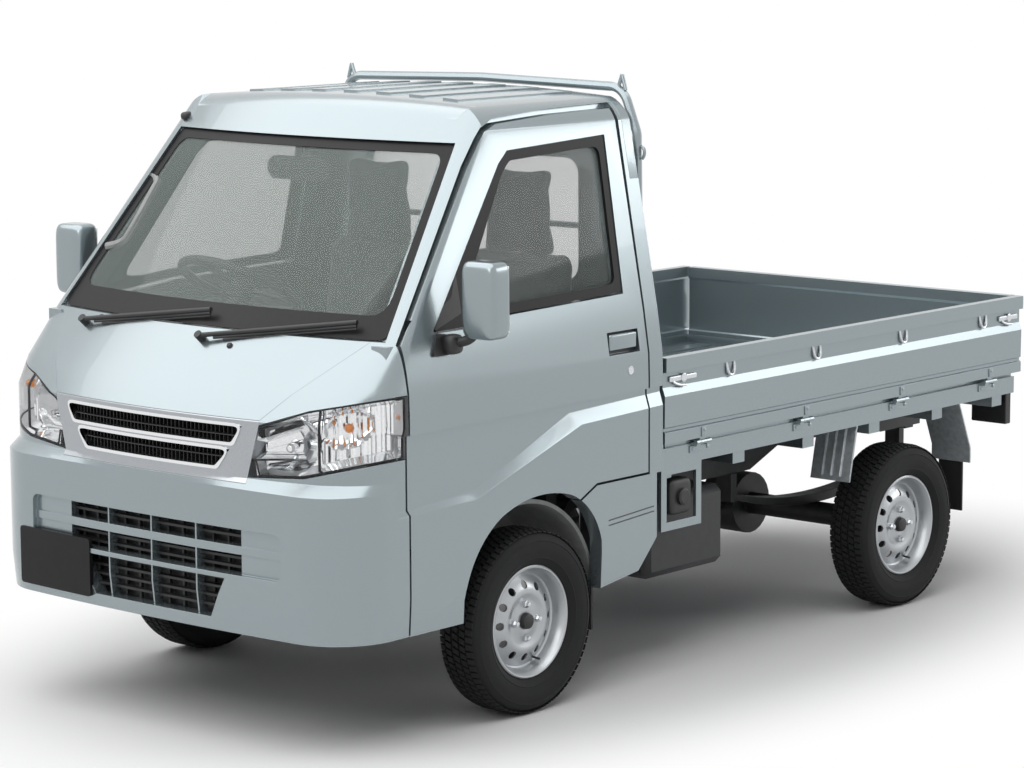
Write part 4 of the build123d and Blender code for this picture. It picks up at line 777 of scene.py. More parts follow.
nuts = repeated(nut_shape, ring_tree, zinc, Count=NUTS, Radius=NUT_CIRCLE)
cap_shape = turned(CAP_PROFILE, steps=40)
valve_shape = wire([(0.118, 0.052, 0.012), (0.119, 0.053, 0.026), (0.121, 0.054, 0.040)], 0.0035)
print("wheel faces", len(wheel_shape.polygons))

# %% Four wheels
for corner in ("front_left", "front_right", "rear_left", "rear_right"):
    tyre_node, rim_node = "tyre_" + corner, "rim_" + corner
    body, tyre_slot, rim_slot = BODY_OF[tyre_node], SLOT_OF[tyre_node], SLOT_OF[rim_node]
    low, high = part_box(tyre_node)
    side = 1 if corner.endswith("left") else -1
    place = Matrix.Translation((low + high) / 2) @ Matrix.Rotation(side * pi / 2, 4, "Y")
    tyre_shapes = [moved(tyre_shape, place), moved(tread, place)]
    tyre = piece(tyre_node + "_tread", tyre_shapes, body, rubber, tyre_slot, angle=30)
    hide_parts(tyre_node)
    wheel = piece("wheel_" + corner, [moved(wheel_shape, place)], body, wheel_silver, rim_slot)
    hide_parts(rim_node)
    piece("wheel_nuts_" + corner, [moved(nuts, place)], body, zinc, rim_slot)
    cap_shapes = [moved(cap_shape, place), moved(valve_shape, place)]
    piece("wheel_cap_" + corner, cap_shapes, body, black_plastic, tyre_slot)
print("wheels set")

# %% [markdown]
# ## Window surrounds
# The glass is bonded in, so a broad black printed border hides the glue, and the doors have black
# seals with a black triangle in front that carries the mirror. Each is a strip between two outlines,
# laid on the glass and lifted a little.

# %% Windscreen and door borders
glass_low, glass_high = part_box("windscreen")
SCREEN_FOOT_Z, SCREEN_HEAD_Z = glass_low[2], glass_high[2]
SCREEN_FOOT_X = glass_high[0]
SCREEN_HEAD_X = SCREEN_FOOT_X - 0.104


def screen_corners(side, foot, head):
    """The windscreen's corners, drawn in by the given widths."""
    slope = (SCREEN_FOOT_X - SCREEN_HEAD_X) / (SCREEN_HEAD_Z - SCREEN_FOOT_Z)
    low_x = SCREEN_FOOT_X - side - slope * foot
    high_x = SCREEN_HEAD_X - side + slope * head
    low_z, high_z = SCREEN_FOOT_Z + foot, SCREEN_HEAD_Z - head
    return [(-low_x, low_z), (low_x, low_z), (high_x, high_z), (-high_x, high_z)]


outer = rounded(screen_corners(0.002, 0.002, 0.002), 0.030, run=24)
inner = rounded(screen_corners(0.034, 0.062, 0.030), 0.045, run=24)
screen_border = band(outer, inner, on_front("windscreen"), 0.0012, 0.001)
piece("windscreen_border", [screen_border], "body", gloss_black, "black_plastic")

DOOR_WINDOW = ((-1.274, 1.152), (-0.906, 1.586), (-0.861, 1.621), (-0.424, 1.642), (-0.443, 1.186),
               (-0.950, 1.174), (-1.150, 1.154))
DOOR_SIGHT = ((-1.150, 1.196), (-0.893, 1.560), (-0.852, 1.594), (-0.450, 1.612), (-0.467, 1.212),
              (-0.950, 1.200), (-1.060, 1.190))
outer = rounded(DOOR_WINDOW, 0.012, run=10)
inner = rounded(DOOR_SIGHT, 0.03, run=10)
for side, name in SIDES:
    node = "door_glass_" + name
    border = band(outer, inner, on_flank(node, side), 0.009, 0.001)
    piece("door_seal_" + name, [border], BODY_OF[node], gloss_black, "black_plastic")
print("borders on", SCREEN_FOOT_X, SCREEN_HEAD_X)

# %% [markdown]
# ## Headlamps
# A clear cover follows the nose round the corner. Behind it lies a bright reflector. It is one
# surface pushed back from the cover: shallow at its edge, deep inside, with two bowls and a fluted
# outer end. Two bulbs, one amber, sit in it, and a black strip parts the chambers.

# %% Headlamp shapes
LAMP_EDGE = (
    # x, bottom z, top z
    (0.374, 0.766, 0.766), (0.415, 0.7685, 0.914), (0.560, 0.778, 0.962), (0.760, 0.828, 1.003),
)
LAMP_CENTRE = Vector((0.38, -1.28, 0))
LAMP_TURNS = (radians(-1.5), radians(69.0))
LAMP_START, LAMP_END, LAMP_REACH = 0.02, 0.99, 0.97
LAMP_COLUMNS = 72
LAMP_ROWS = 26
LAMP_MARGIN = 0.006
LAMP_DEPTH = 0.042
LAMP_BACK_Y = -1.412
FLUTE_DEPTH = 0.0022
FLUTE_TURNS = 190
BULB_PROFILE = (
    # share of the length, share of the radius
    (0, 0.6), (0.3, 1), (0.7, 1), (0.92, 0.7), (1, 0),
)
BOWLS = (
    # share along the lamp, share up the lamp, half length, half height, depth
    (0.27, 0.46, 0.22, 0.46, 0.050),
    (0.66, 0.60, 0.15, 0.32, 0.030),
)


def lamp_heights(x):
    """The cover's bottom and top at a distance from the centre line."""
    for (x0, low0, high0), (x1, low1, high1) in zip(LAMP_EDGE, LAMP_EDGE[1:]):
        if x <= x1:
            share = max(x - x0, 0) / (x1 - x0)
            return low0 + share * (low1 - low0), high0 + share * (high1 - high0)
    return LAMP_EDGE[-1][1:]


def lamp_point(along, up):
    """A point of the cover, and the way into the lamp, at shares along and up the left lamp."""
    turn = LAMP_TURNS[0] + along * (LAMP_TURNS[1] - LAMP_TURNS[0])
    outward = Vector((sin(turn), -cos(turn), 0))
    outside = LAMP_CENTRE + outward * 1.5
    middle, _ = cast("headlamps", outside + Vector((0, 0, 0.87)), -outward)
    low, high = lamp_heights(middle.x)
    height = low + LAMP_MARGIN + up * max(high - low - 2 * LAMP_MARGIN, 0.001)
    place, _ = cast("headlamps", outside + Vector((0, 0, height)), -outward)
    return place, -outward


def lamp_depth(along, up):
    """How far the reflector lies behind the cover."""
    edge = min(min(along, 1 - along) * 14, min(up, 1 - up) * 7, 1)
    depth = 0.004 + LAMP_DEPTH * min(edge * 1.4, 1)
    for centre, middle, length, height, bowl in BOWLS:
        off = ((along - centre) / length) ** 2 + ((up - middle) / height) ** 2
        if off < 1:
            depth += bowl * sqrt(1 - off)
    if along > 0.5:
        depth += FLUTE_DEPTH * sin(along * FLUTE_TURNS) * edge
    return depth


def lamp_spot(along, up, depth):
    """A place inside the left lamp."""
    place, inward = lamp_point(along, up)
    return place + inward * depth


def bulb(along, up, depth, radius, length):
    """A round-ended bulb that points out of the lamp."""
    profile = [(length * rise, radius * girth) for rise, girth in BULB_PROFILE]
    _, inward = lamp_point(along, up)
    return stood(turned(profile, steps=20), lamp_spot(along, up, depth), -inward)


print("lamp from x", LAMP_EDGE[0][0], "to", LAMP_EDGE[-1][0])

# %% Headlamps
rows = []
for row in range(LAMP_ROWS + 1):
    points = []
    for column in range(LAMP_COLUMNS + 1):
        along, up = LAMP_START + LAMP_REACH * column / LAMP_COLUMNS, row / LAMP_ROWS
        point = lamp_spot(along, up, lamp_depth(along, up))
        point.y = min(point.y, LAMP_BACK_Y)
        points.append(point)
    rows.append(points)
reflector_shape = to_mesh(rings_mesh(rows, False, closed_columns=False))
divider = wire([lamp_spot(0.49, up / 8, 0.018) for up in range(9)], 0.004)
rim = [(LAMP_START + LAMP_REACH * i / 40, 0.0) for i in range(41)]
rim += [(LAMP_END, i / 6) for i in range(1, 6)]
rim += [(LAMP_END - LAMP_REACH * i / 40, 1.0) for i in range(41)]
gasket = wire([lamp_spot(along, up, 0.003) for along, up in rim], 0.0028, smooth=False)
LAMP_PARTS = (
    # label, shape, finish
    ("reflector", reflector_shape, reflector),
    ("divider", divider, gloss_black),
    ("bulb", bulb(0.27, 0.46, 0.075, 0.013, 0.045), chrome),
    ("amber", bulb(0.66, 0.62, 0.060, 0.013, 0.040), amber),
    ("gasket", gasket, gloss_black),
)
for side, name in SIDES:
    for label, mesh, surface in LAMP_PARTS:
        piece(f"lamp_{label}_{name}", sided([mesh], side), "body", surface, SLOT_OF["headlamps"])
skin("headlamps", lamp_glass)
print("lamps set")

# %% [markdown]
# ## Grille and intakes
# Bright strips frame the two grille openings and dark fins fill them. The lower intakes show dark
# slats. All follow the bow of the front. The fins, the grille's slats and the intakes' uprights are rows
# of copies, made by the row tree.

# %% Bowed shapes
NOSE_BOW = 2.9
BUMPER_BOW = 8.0
NOSE_Y = cad_box[0][1]
NOSE_SETBACK = 0.005


def bow(x, radius):
    """How far a bowed front falls back at a distance from the centre line."""
    return radius - sqrt(radius**2 - x**2)


def bowed(x, z, radius, setback):
    """A point of a bowed front, set back from its foremost line."""
    return Vector((x, NOSE_Y + setback + bow(x, radius), z))


def on_bow(radius, setback):
    """Lays an x, z outline on a bowed front."""
    return lambda point: (bowed(*point, radius, setback), Vector((0, -1, 0)))


def bowed_strip(half, section, radius, steps, closed):
    """A strip across a bowed front, whose section is given as setbacks and heights."""
    xs = [-half + 2 * half * i / steps for i in range(steps + 1)]
    rows = [[bowed(x, z, radius, setback) for x in xs] for setback, z in section]
    return to_mesh(rings_mesh(rows, closed, closed_columns=False))


def row_of(shape, count, step, start, radius):
    """A row of black copies along a bow."""
    return repeated(shape, row_tree, black_plastic, Count=count, Step=step, Start=start, Bow_Radius=radius)


print("front at y", round(NOSE_Y, 4))

# %% Grille
GRILLE_OPENINGS = (
    # bottom z, top z, half width at the bottom, half width at the top
    (0.858, 0.906, 0.322, 0.356),
    (0.788, 0.838, 0.262, 0.312),
)
SLAT_SECTION = ((0.018, 0.0), (0.018, 0.003), (0.036, 0.003), (0.036, 0.0))
GRILLE_BACK = ((0.046, 0.770), (0.046, 0.918))
BACK_SHEET = 0.002
GRILLE_SLOT = SLOT_OF["grille"]


def opening(low_z, high_z, low_x, high_x, grow):
    """An opening's outline, drawn out by a width."""
    low_x, high_x, low_z, high_z = low_x + grow, high_x + grow, low_z - grow, high_z + grow
    return [(-low_x, low_z), (low_x, low_z), (high_x, high_z), (-high_x, high_z)]


bright_strips = []
for size in GRILLE_OPENINGS:
    outer = rounded(opening(*size, 0.008), 0.020, run=20)
    inner = rounded(opening(*size, -0.001), 0.016, run=20)
    bright_strips.append(band(outer, inner, on_bow(NOSE_BOW, NOSE_SETBACK), 0.0035, 0.004))
piece("grille_brightwork", bright_strips, "body", chrome, GRILLE_SLOT, angle=25)

fin = brick((-0.0012, 0, 0.778), (0.0012, 0.016, 0.912), 0.0004, 1)
fins = row_of(fin, 47, (0.0152, 0, 0), (-0.35, NOSE_Y + 0.026, 0), NOSE_BOW)
slat = bowed_strip(0.37, SLAT_SECTION, NOSE_BOW, 24, True)
slats = row_of(slat, 5, (0, 0, 0.031), (0, 0, 0.782), NOSE_BOW)
piece("grille_fins", [fins, slats], "body", black_plastic, GRILLE_SLOT)
dark_back = bowed_strip(0.40, GRILLE_BACK, NOSE_BOW, 24, False)
back_panel = piece("grille_back", [dark_back], "body", black_plastic, GRILLE_SLOT)
back_panel.modifiers.new("sheet", "SOLIDIFY").thickness = BACK_SHEET
print("grille dressed")

# %% Lower intakes and plate
INTAKE_SLATS = (
    # z, half width
    (0.385, 0.25), (0.412, 0.265), (0.439, 0.28), (0.466, 0.295), (0.505, 0.35), (0.530, 0.35), (0.592, 0.35),
)
INTAKE_SECTION = ((0.034, 0.0), (0.034, 0.007), (0.050, 0.009), (0.050, 0.002))
INTAKE_BACK = ((0.066, 0.340), (0.066, 0.640))
PLATE = ((-0.570, 0.350), (-0.250, 0.350), (-0.250, 0.519), (-0.570, 0.519))

intake_slats = []
for z, half in INTAKE_SLATS:
    section = [(setback, z + rise) for setback, rise in INTAKE_SECTION]
    intake_slats.append(bowed_strip(half, section, BUMPER_BOW, 16, True))
upright = brick((-0.004, 0, 0.362), (0.004, 0.012, 0.618), 0.001, 1)
intake_slats.append(row_of(upright, 12, (0.06, 0, 0), (-0.33, NOSE_Y + 0.048, 0), BUMPER_BOW))
piece("intake_slats", intake_slats, "body", black_plastic, GRILLE_SLOT)
intake_sheet = bowed_strip(0.42, INTAKE_BACK, BUMPER_BOW, 16, False)
intake_back = piece("intake_back", [intake_sheet], "body", frame_black, GRILLE_SLOT)
intake_back.modifiers.new("sheet", "SOLIDIFY").thickness = BACK_SHEET
blank_plate = plate(rounded(PLATE, 0.012), on_bow(BUMPER_BOW, 0), 0.0030, 0.010)
piece("front_plate", [blank_plate], "body", gloss_black, "black_plastic")
print("intakes and plate set")

# %% [markdown]
# ## Door mirrors and handles
# The mirror housing is a rounded box. A formula for a rounded solid, the superellipsoid, gives soft
# corners everywhere with one set of rings. The black arm is a bent bar that ends in a black foot on
# the door. The handle is a flap that lies flush in its recess, over a thin black plate at the back of
# the recess: painted shade, for the hollow behind the flap.

# %% Mirrors
MIRROR_SIZE = (0.120, 0.090, 0.215)
MIRROR_SOFTNESS = (0.30, 0.42)
MIRROR_Y = -1.200
PANE_HALF = Vector((0.046, 0, 0.092))
ARM = ((0.705, -1.225, 1.118), (0.750, -1.222, 1.122), (0.800, -1.205, 1.140), (0.818, -1.200, 1.185))
FOOT = ((-1.296, 1.088), (-1.180, 1.088), (-1.180, 1.136), (-1.268, 1.150))
TRIANGLE = ((-1.268, 1.154), (-1.146, 1.192), (-1.146, 1.300), (-1.160, 1.300))


def signed_power(value, power):
    """A power that keeps the sign."""
    return abs(value) ** power * (1 if value >= 0 else -1)


def soft_box(centre, size, softness, steps=(28, 48)):
    """A box with every edge and corner rounded."""
    rings = []
    for i in range(1, steps[0]):
        rise = pi * (i / steps[0] - 0.5)
        height, girth = signed_power(sin(rise), softness[0]), signed_power(cos(rise), softness[0])
        ring = []
        for j in range(steps[1]):
            turn = 2 * pi * j / steps[1]
            ring.append(Vector((
                centre[0] + size[0] / 2 * girth * signed_power(cos(turn), softness[1]),
                centre[1] + size[1] / 2 * girth * signed_power(sin(turn), softness[1]),
                centre[2] + size[2] / 2 * height)))
        rings.append(ring)
    foot, head = ((centre[0], centre[1], centre[2] + end * size[2] / 2) for end in (-1, 1))
    return to_mesh(rings_mesh([[foot] * steps[1], *rings, [head] * steps[1]], False))


mirror_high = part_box("mirror_left")[1]
mirror_centre = Vector((mirror_high[0] - MIRROR_SIZE[0] / 2, MIRROR_Y, mirror_high[2] - MIRROR_SIZE[2] / 2))
housing = soft_box(mirror_centre, MIRROR_SIZE, MIRROR_SOFTNESS)
pane_centre = mirror_centre + Vector((0, MIRROR_SIZE[1] / 2, 0))
mirror_pane = brick(pane_centre - PANE_HALF - Vector((0, 0.004, 0)), pane_centre + PANE_HALF, 0.0015)
arm = [wire(ARM, 0.014)]
arm.append(soft_box((0.734, -1.224, 1.119), (0.050, 0.060, 0.056), (0.6, 0.7), (12, 20)))
arm.append(plate(rounded(FOOT, 0.010), on_flank("door_left"), 0.008, 0.004))
arm.append(plate(rounded(TRIANGLE, 0.004), on_flank("door_glass_left"), 0.0095, 0.002))
MIRROR_PARTS = (
    # label, shapes, finish
    ("housing", [housing], lacquer),
    ("pane", [mirror_pane], reflector),
    ("arm", arm, black_plastic),
)
for side, name in SIDES:
    node = "mirror_" + name
    for label, meshes, surface in MIRROR_PARTS:
        part = piece(node + "_" + label, sided(meshes, side), BODY_OF[node], surface, SLOT_OF[node], angle=50)
        if label == "housing":
            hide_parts(node)
print("mirrors at", tuple(round(v, 3) for v in mirror_centre))

# %% Door handles and locks
HANDLE_Y = (-0.539, -0.397)
HANDLE_Z = (1.010, 1.077)
LOCK = (-0.443, 0.958)
LOCK_PROFILE = ((-0.002, 0), (-0.002, 0.0125), (0.0015, 0.0125), (0.0028, 0.0105), (0.0015, 0.0085),
                (0.0015, 0))

recess_x = cast("door_left", (6, sum(HANDLE_Y) / 2, sum(HANDLE_Z) / 2), (-1, 0, 0))[0].x
flap = brick((recess_x + 0.006, HANDLE_Y[0] + 0.008, HANDLE_Z[0] + 0.012),
             (recess_x + 0.020, HANDLE_Y[1] - 0.010, HANDLE_Z[1] - 0.007), 0.006, 3)
# A thin black plate at the back of the handle recess is painted shade for the hollow behind the flap.
recess_shade_plate = brick((recess_x, HANDLE_Y[0] + 0.001, HANDLE_Z[0] + 0.001),
               (recess_x + 0.002, HANDLE_Y[1] - 0.001, HANDLE_Z[1] - 0.001), 0.0004, 1)
lock = stood(turned(LOCK_PROFILE, 28), *cast("door_left", (6, *LOCK), (-1, 0, 0)))
HANDLE_PARTS = (("flap", flap, lacquer), ("recess_shade_plate", recess_shade_plate, black_plastic), ("lock", lock, zinc))
for side, name in SIDES:
    node = "door_" + name
    for label, mesh, surface in HANDLE_PARTS:
        piece(f"door_{label}_{name}", sided([mesh], side), BODY_OF[node], surface, SLOT_OF[node])
print("handle recess at x", round(recess_x, 4))

# %% [markdown]
# ## Bed fittings
# Ropes tie to U-shaped hooks under each gate rail. Each gate has strap hinges on the sill and a
# lever latch at its ends. They are bent bars and small plates, one set per gate, so that they swing
# with it. The hinges' lower plates stay on the sill.

# %% Gate fittings
GATE_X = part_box("side_gate_left")[1][0] - 0.0085
CHANNEL_X = GATE_X - 0.007
BAND_X = GATE_X + 0.003
SILL_X = GATE_X - 0.014
HOOK_YS = (0.053, 0.502, 0.984, 1.458)
HINGE_YS = (-0.089, 0.441, 0.971, 1.501)
LATCH_ENDS = ((-0.250, -0.120), (1.555, 1.668))
HOOK_PATH = (
    # out, along, z
    (0.000, -0.019, 0.934), (0.005, -0.019, 0.912), (0.007, -0.013, 0.892), (0.007, 0.0, 0.887),
    (0.007, 0.013, 0.892), (0.005, 0.019, 0.912), (0.000, 0.019, 0.934),
)
LATCH_PATH = ((0.006, 0.015, 0.900), (0.009, 0.03, 0.886), (0.009, 0.075, 0.884))
LATCH_DISC = ((0, 0.014), (0.010, 0.014), (0.0125, 0.010), (0.0125, 0))
BAR_RADIUS = 0.0042
STRAP_HALF, STRAP_Z = 0.012, (0.716, 0.745)
SILL_PLATE_HALF, SILL_PLATE_Z = 0.050, (0.668, 0.690)
PLATE_EDGE = 0.0015


def bolt_head(x, y, z, radius=0.006):
    """A round-topped bolt that points out to the left."""
    profile = ((0, 0), (0, radius), (0.002, radius), (0.0035, radius * 0.6), (0.004, 0))
    return facing_left(turned(profile, 12), (x, y, z))


def flat_plate(x, y, half, heights, thickness):
    """A thin plate on the left flank."""
    low = (x - 0.001, y - half, heights[0])
    return brick(low, (x + thickness, y + half, heights[1]), PLATE_EDGE)


gate_bars = []
for y in HOOK_YS:
    gate_bars.append(wire([(CHANNEL_X + out, y + along, z) for out, along, z in HOOK_PATH], BAR_RADIUS))
gate_plates = []
sill_plates = []
for y in HINGE_YS:
    gate_plates.append(flat_plate(BAND_X, y, STRAP_HALF, STRAP_Z, 0.0035))
    gate_plates.append(bolt_head(BAND_X + 0.0030, y, 0.736, 0.005))
    sill_plates.append(flat_plate(SILL_X, y, SILL_PLATE_HALF, SILL_PLATE_Z, 0.004))
    sill_plates += [bolt_head(SILL_X + 0.0035, y + along, 0.679) for along in (-0.036, 0.036)]
for start, end in LATCH_ENDS:
    gate_bars.append(brick((CHANNEL_X, start, 0.898), (CHANNEL_X + 0.0085, end, 0.916), 0.004, 3))
    gate_bars.append(facing_left(turned(LATCH_DISC, 24), (CHANNEL_X, (start + end) / 2, 0.907)))
    gate_bars.append(wire([(CHANNEL_X + out, start + along, z) for out, along, z in LATCH_PATH], 0.004))
for side, name in SIDES:
    node = "side_gate_" + name
    gate_parts = (
        # label, shapes, finish, body
        ("hooks", gate_bars, zinc, BODY_OF[node]),
        ("straps", gate_plates, bed_lacquer, BODY_OF[node]),
        ("sill_plates", sill_plates, bed_lacquer, BODY_OF["bed_floor"]),
    )
    for label, meshes, surface, body in gate_parts:
        piece(node + "_" + label, sided(meshes, side), body, surface, SLOT_OF[node])
print("gate fittings on x", round(GATE_X, 4))

# %% Tailgate, lamps and filler
TAIL_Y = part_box("tailgate")[1][1] - 0.0085
TAIL_STRAP_XS = (-0.520, 0.0, 0.520)
TAIL_HOOK_XS = (-0.45, 0.45)
TAIL_HOOK_PATH = (
    # along, out, z
    (-0.019, 0.000, 0.934), (-0.019, 0.005, 0.912), (-0.013, 0.007, 0.892), (0.013, 0.007, 0.892),
    (0.019, 0.005, 0.912), (0.019, 0.000, 0.934),
)
LENSES = (
    # label, inner x, outer x, finish
    ("white", 0.566, 0.600, lamp_glass),
    ("red", 0.603, 0.655, red_lens),
    ("amber", 0.658, 0.694, amber),
)
LENS_MARGIN = 0.008
FILLER_Y, FILLER_Z = -0.172, 0.540
FILLER_CAP = ((0, 0), (0, 0.026), (0.010, 0.026), (0.014, 0.020), (0.014, 0))

tail_plates = []
for x in TAIL_STRAP_XS:
    low = (x - STRAP_HALF, TAIL_Y + 0.002, STRAP_Z[0])
    tail_plates.append(brick(low, (x + STRAP_HALF, TAIL_Y + 0.0065, STRAP_Z[1]), PLATE_EDGE))
for x in TAIL_HOOK_XS:
    path = [(x + along, TAIL_Y - 0.007 + out, z) for along, out, z in TAIL_HOOK_PATH]
    tail_plates.append(wire(path, BAR_RADIUS))
piece("tailgate_fittings", tail_plates, BODY_OF["tailgate"], zinc, SLOT_OF["tailgate"])

lamp_low, lamp_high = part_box("tail_lamps")
for label, inner, outer, surface in LENSES:
    low = (inner, lamp_high[1] - 0.004, lamp_low[2] + LENS_MARGIN)
    lens = brick(low, (outer, lamp_high[1] + 0.008, lamp_high[2] - LENS_MARGIN), 0.004, 3)
    piece("rear_lens_" + label, [lens.copy(), mirrored(lens)], "body", surface, SLOT_OF["tail_lamps"])
plug = soft_box((SILL_X - 0.030, FILLER_Y, FILLER_Z), (0.060, 0.105, 0.110), (0.35, 0.35), (16, 32))
cap = facing_left(turned(FILLER_CAP, 32), (SILL_X - 0.001, FILLER_Y, FILLER_Z))
piece("filler_plug", [plug, cap], "body", black_plastic, SLOT_OF["fuel_tank"])
print("rear lamps and filler set")

# %% Fender ribs
RIB_XS = (0.605, 0.640, 0.675)
FENDER_EDGE_X = 0.7135
RIB_FOOT_Z = 0.475

fender_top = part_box("rear_fenders")[1][2]
ribs = []
for x in RIB_XS:
    top, _ = cast("rear_fenders", (x, -2, fender_top - 0.010), (0, 1, 0))
    foot, _ = cast("rear_fenders", (x, -2, RIB_FOOT_Z), (0, 1, 0))
    ribs.append(wire([top, top.lerp(foot, 0.5), foot], 0.0055))
edge = [(FENDER_EDGE_X, end.y + 0.002, end.z) for end in (top, foot)]
ribs.append(wire(edge, 0.003, smooth=False))
ribs += [mirrored(mesh) for mesh in ribs]
piece("fender_ribs", ribs, "body", galvanised, SLOT_OF["rear_fenders"])
print("fender ribs", len(ribs))

# %% [markdown]
# ## Small fittings of the cab
# The wiper blades, washer jets, aerial, rope hooks of the guard and the grab handle are bent bars and
# turned forms, each set on the panel that carries it. The grooves pressed into the sill are drawn as
# thin black bars on the panel, as painted shade in the grooves. Inside, a hood covers the instruments
# and black vents sit in the dashboard.

# %% Wipers, jets and aerial
JETS = ((-0.420, -1.477), (0.173, -1.532))
JET_PROFILE = ((-0.003, 0), (-0.003, 0.009), (0.003, 0.009), (0.007, 0.006), (0.009, 0))
WIPER_LINES = (
    # pivot x, blade end x, both along the foot of the screen
    (-0.470, 0.040),
    (0.060, 0.560),
)
BLADE_BARS = (
    # start as a share of the line, height, radius
    (0.10, -0.010, 0.0045),
    (0.16, -0.018, 0.003),
)
BLADE_STEPS = 6
AERIAL = ((-0.560, -0.990, 1.680), (-0.560, -0.950, 1.702), (-0.560, -0.903, 1.728))

blacks = []
for x, y in JETS:
    blacks.append(stood(turned(JET_PROFILE, 20), *cast("nose_panel", (x, y, 5), (0, 0, -1))))
for pivot_x, end_x in WIPER_LINES:
    start = Vector((pivot_x, -1.545 + bow(pivot_x, NOSE_BOW), 1.120))
    end = Vector((end_x, -1.475 + bow(end_x, NOSE_BOW), 1.185))
    for low, height, radius in BLADE_BARS:
        path = []
        for i in range(BLADE_STEPS + 1):
            lift = Vector((0, -0.002 + 0.004 * sin(pi * i / BLADE_STEPS), height))
            path.append(start.lerp(end, low + (1 - low) * i / BLADE_STEPS) + lift)
        blacks.append(wire(path, radius))
blacks.append(wire(AERIAL, 0.0055))
blacks.append(soft_box((-0.560, -0.985, 1.682), (0.030, 0.045, 0.026), (0.7, 0.7), (12, 20)))
piece("cab_blacks", blacks, "body", black_plastic, SLOT_OF["wipers"])
print("black fittings", len(blacks))

# %% Handle, hooks, grooves and dashboard
GRAB = ((-0.590, -1.105, 1.505), (-0.545, -1.120, 1.500), (-0.540, -1.150, 1.470), (-0.545, -1.245, 1.345),
        (-0.555, -1.268, 1.315), (-0.605, -1.285, 1.305))
GUARD_HOOKS = ((0.612, 1.600), (0.618, 1.300))
GUARD_HOOK_Y = -0.266
GUARD_HOOK_PATH = ((0, 0), (0.022, 0.002), (0.031, -0.010), (0.030, -0.028), (0.022, -0.036))
GROOVE_ZS = (0.515, 0.530)
GROOVE_YS = (-0.545, -0.47, -0.40, -0.335)
HOOD = ((-0.475, -1.330, 1.070), (-0.185, -1.165, 1.150))
CONSOLE = ((-0.115, -1.195, 0.880), (0.115, -1.164, 1.020))
VENT_XS = (-0.52, 0.0, 0.52)

piece("grab_handle", [wire(GRAB, 0.012)], "body", grey_plastic, SLOT_OF["dashboard"])
hooks = []
for x, z in GUARD_HOOKS:
    hook = wire([(x + out, GUARD_HOOK_Y, z + rise) for out, rise in GUARD_HOOK_PATH], 0.005)
    hooks += [hook.copy(), mirrored(hook)]
piece("guard_hooks", hooks, "body", bed_lacquer, SLOT_OF["guard_frame"])
# The sill's pressed grooves are thin black bars laid on the panel: painted shade in the grooves.
groove_shade_bars = []
for z in GROOVE_ZS:
    path = [cast("cab_side_left", (6, y, z + 0.06 * (y + 0.44)), (-1, 0, 0))[0] for y in GROOVE_YS]
    groove_shade_bars.append(wire(path, 0.0018, smooth=False))
groove_shade_bars += [mirrored(mesh) for mesh in groove_shade_bars]
piece("sill_grooves", groove_shade_bars, "body", frame_black, SLOT_OF["cab_side_left"])
hood_low, hood_high = (Vector(corner) for corner in HOOD)
hood = soft_box((hood_low + hood_high) / 2, hood_high - hood_low, (0.6, 0.4), (16, 36))
piece("instrument_hood", [hood], "body", grey_plastic, SLOT_OF["dashboard"], angle=60)
dash_blacks = [brick(*CONSOLE, 0.006, 2)]
for x in VENT_XS:
    dash_blacks.append(brick((x - 0.055, -1.206, 1.020), (x + 0.055, -1.180, 1.062), 0.006, 2))
piece("dash_blacks", dash_blacks, "body", black_plastic, SLOT_OF["dashboard"])
print("cab fittings set")

# %% [markdown]
# ## Seats
# A seat is foam under tight cloth: crowned in the middle, pulled in at the edges. Each pad starts as
# a slightly small block with the pad's side view. The block is remeshed evenly and Blender's Cloth
# then blows it up from inside, with gravity off and a limit on how far any point may move. The
# simulation's result is kept as a plain mesh, with one subdivision for a smooth surface.

# %% Padding helper
PAD_VOXEL = 0.011
PAD_PRESSURE = 4.0
PAD_FRAMES = 20
PAD_LIMIT = 0.016
PAD_STIFFNESS = 20
PAD_EDGE = 0.022


def side_block(outline, half, centre_x):
    """A block with the given y, z side view."""
    rings = [[Vector((centre_x + side * half, y, z)) for y, z in outline] for side in (-1, 1)]
    shape = rings_mesh(rings, False)
    for row in (shape.verts[:len(outline)], shape.verts[len(outline):]):
        shape.faces.new(row)
    bmesh.ops.bevel(shape, geom=shape.edges[:], offset=PAD_EDGE, segments=2, profile=0.5, affect="EDGES")
    return to_mesh(shape)


def stuffed(block_mesh):
    """The block blown up by Cloth, no point moved further than the limit."""
    holder = placed("pad", block_mesh)
    even = holder.modifiers.new("even", "REMESH")
    even.mode = "VOXEL"
    even.voxel_size = PAD_VOXEL
    rest = applied(holder)
    holder.modifiers.remove(even)
    holder.data = rest
    foam = holder.modifiers.new("foam", "CLOTH")
    foam.settings.use_pressure = True
    foam.settings.uniform_pressure_force = PAD_PRESSURE
    foam.settings.effector_weights.gravity = 0
    foam.settings.tension_stiffness = PAD_STIFFNESS
    foam.settings.compression_stiffness = PAD_STIFFNESS
    foam.point_cache.frame_start = 1
    foam.point_cache.frame_end = PAD_FRAMES
    for frame_number in range(1, PAD_FRAMES + 1):
        bpy.context.scene.frame_set(frame_number)
    swollen = applied(holder)
    for vert, start in zip(swollen.vertices, rest.vertices):
        step = vert.co - start.co
        if step.length > PAD_LIMIT:
            vert.co = start.co + step * (PAD_LIMIT / step.length)
    bpy.data.objects.remove(holder)
    bpy.context.scene.frame_set(1)
    return swollen


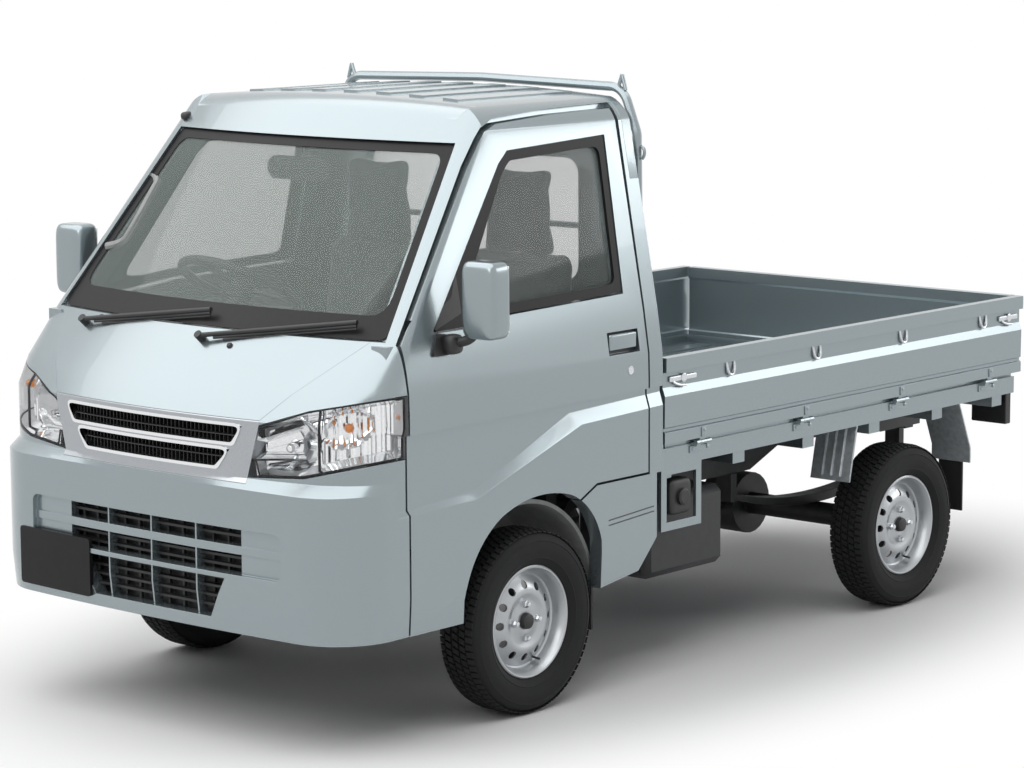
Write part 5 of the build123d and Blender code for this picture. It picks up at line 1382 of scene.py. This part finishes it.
# %% Seat pads
seat_low, seat_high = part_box("seat_left")
SEAT_X = (seat_low[0] + seat_high[0]) / 2
SEAT_HALF = (seat_high[0] - seat_low[0]) / 2
PADS = (
    # half width, side view as y, z
    (SEAT_HALF - 0.012, ((-0.893, 0.697), (-0.912, 0.795), (-0.88, 0.826), (-0.545, 0.803), (-0.44, 0.697))),
    (SEAT_HALF - 0.020, ((-0.546, 0.79), (-0.468, 1.275), (-0.402, 1.296), (-0.38, 1.255), (-0.392, 0.79))),
    (SEAT_HALF * 0.58, ((-0.462, 1.262), (-0.451, 1.533), (-0.404, 1.541), (-0.392, 1.262))),
)
pads = [stuffed(side_block(outline, half, SEAT_X)) for half, outline in PADS]
for side, name in SIDES:
    node = "seat_" + name
    seat = piece(node + "_pads", sided(pads, side), "body", seat_cloth, SLOT_OF[node], angle=80)
    finer = seat.modifiers.new("finer", "SUBSURF")
    finer.levels = finer.render_levels = 1
    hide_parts(node)
print("pads", [len(mesh.vertices) for mesh in pads])

# %% [markdown]
# ## Bed lips and door cards
# A raised lip runs round the floor of the bed, just inside the gates, so that nothing trickles out
# under them. On the inside, each door has a moulded card with an armrest and a latch lever. The card
# is laid on the door's inner wall as an outline and rides with the door, and the lip stays with the bed.

# %% Bed lips
LIP_THICK = 0.007
LIP_FOOT, LIP_TOP = 0.696, 0.724
LIP_OVERLAP = 0.0015
LIP_EDGE = 0.001

gate_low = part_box("side_gate_left")[0]
lip_x = gate_low[0] + LIP_OVERLAP
lip_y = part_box("tailgate")[0][1] + LIP_OVERLAP
tail_face = lip_y - LIP_THICK
side_lip = brick((lip_x - LIP_THICK, gate_low[1] + 0.03, LIP_FOOT), (lip_x, tail_face, LIP_TOP), LIP_EDGE)
tail_lip = brick((-lip_x, tail_face, LIP_FOOT), (lip_x, lip_y, LIP_TOP), LIP_EDGE)
piece("bed_lips", [side_lip, mirrored(side_lip), tail_lip], "body", bed_lacquer, SLOT_OF["bed_floor"])
print("lips at x", round(lip_x, 4), "y", round(lip_y, 4))

# %% Door cards
DOOR_CARD = ((-1.235, 0.70), (-1.235, 1.085), (-0.430, 1.105), (-0.430, 0.70))
DOOR_TRIMS = (
    # start y, end y, bottom z, top z, depth, rounding, steps of the rounding
    (-0.98, -0.60, 0.870, 0.905, 0.045, 0.014, 4),
    (-1.130, -1.030, 0.985, 1.008, 0.022, 0.008, 3),
)
WALL_SPOT = (-0.8, 0.89)


def on_inside(node, side):
    """Lays a y, z outline on a node's inner wall, seen from the middle of the cab."""
    return lambda point: cast(node, (0, point[0], point[1]), (side, 0, 0))


for side, name in SIDES:
    node = "door_" + name
    place = on_inside(node, side)
    wall_x = abs(place(WALL_SPOT)[0].x)
    card = plate(rounded(DOOR_CARD, 0.05, run=12), place, 0.005, 0.001)
    piece("door_card_" + name, [card], BODY_OF[node], grey_plastic, "grey_plastic")
    trims = []
    for y0, y1, z0, z1, out, rounding, steps in DOOR_TRIMS:
        trims.append(brick((wall_x - out, y0, z0), (wall_x + 0.001, y1, z1), rounding, steps))
    piece("door_armrest_" + name, sided(trims, side), BODY_OF[node], black_plastic, "black_plastic")
    print(node, "inner wall at x", round(wall_x, 4))
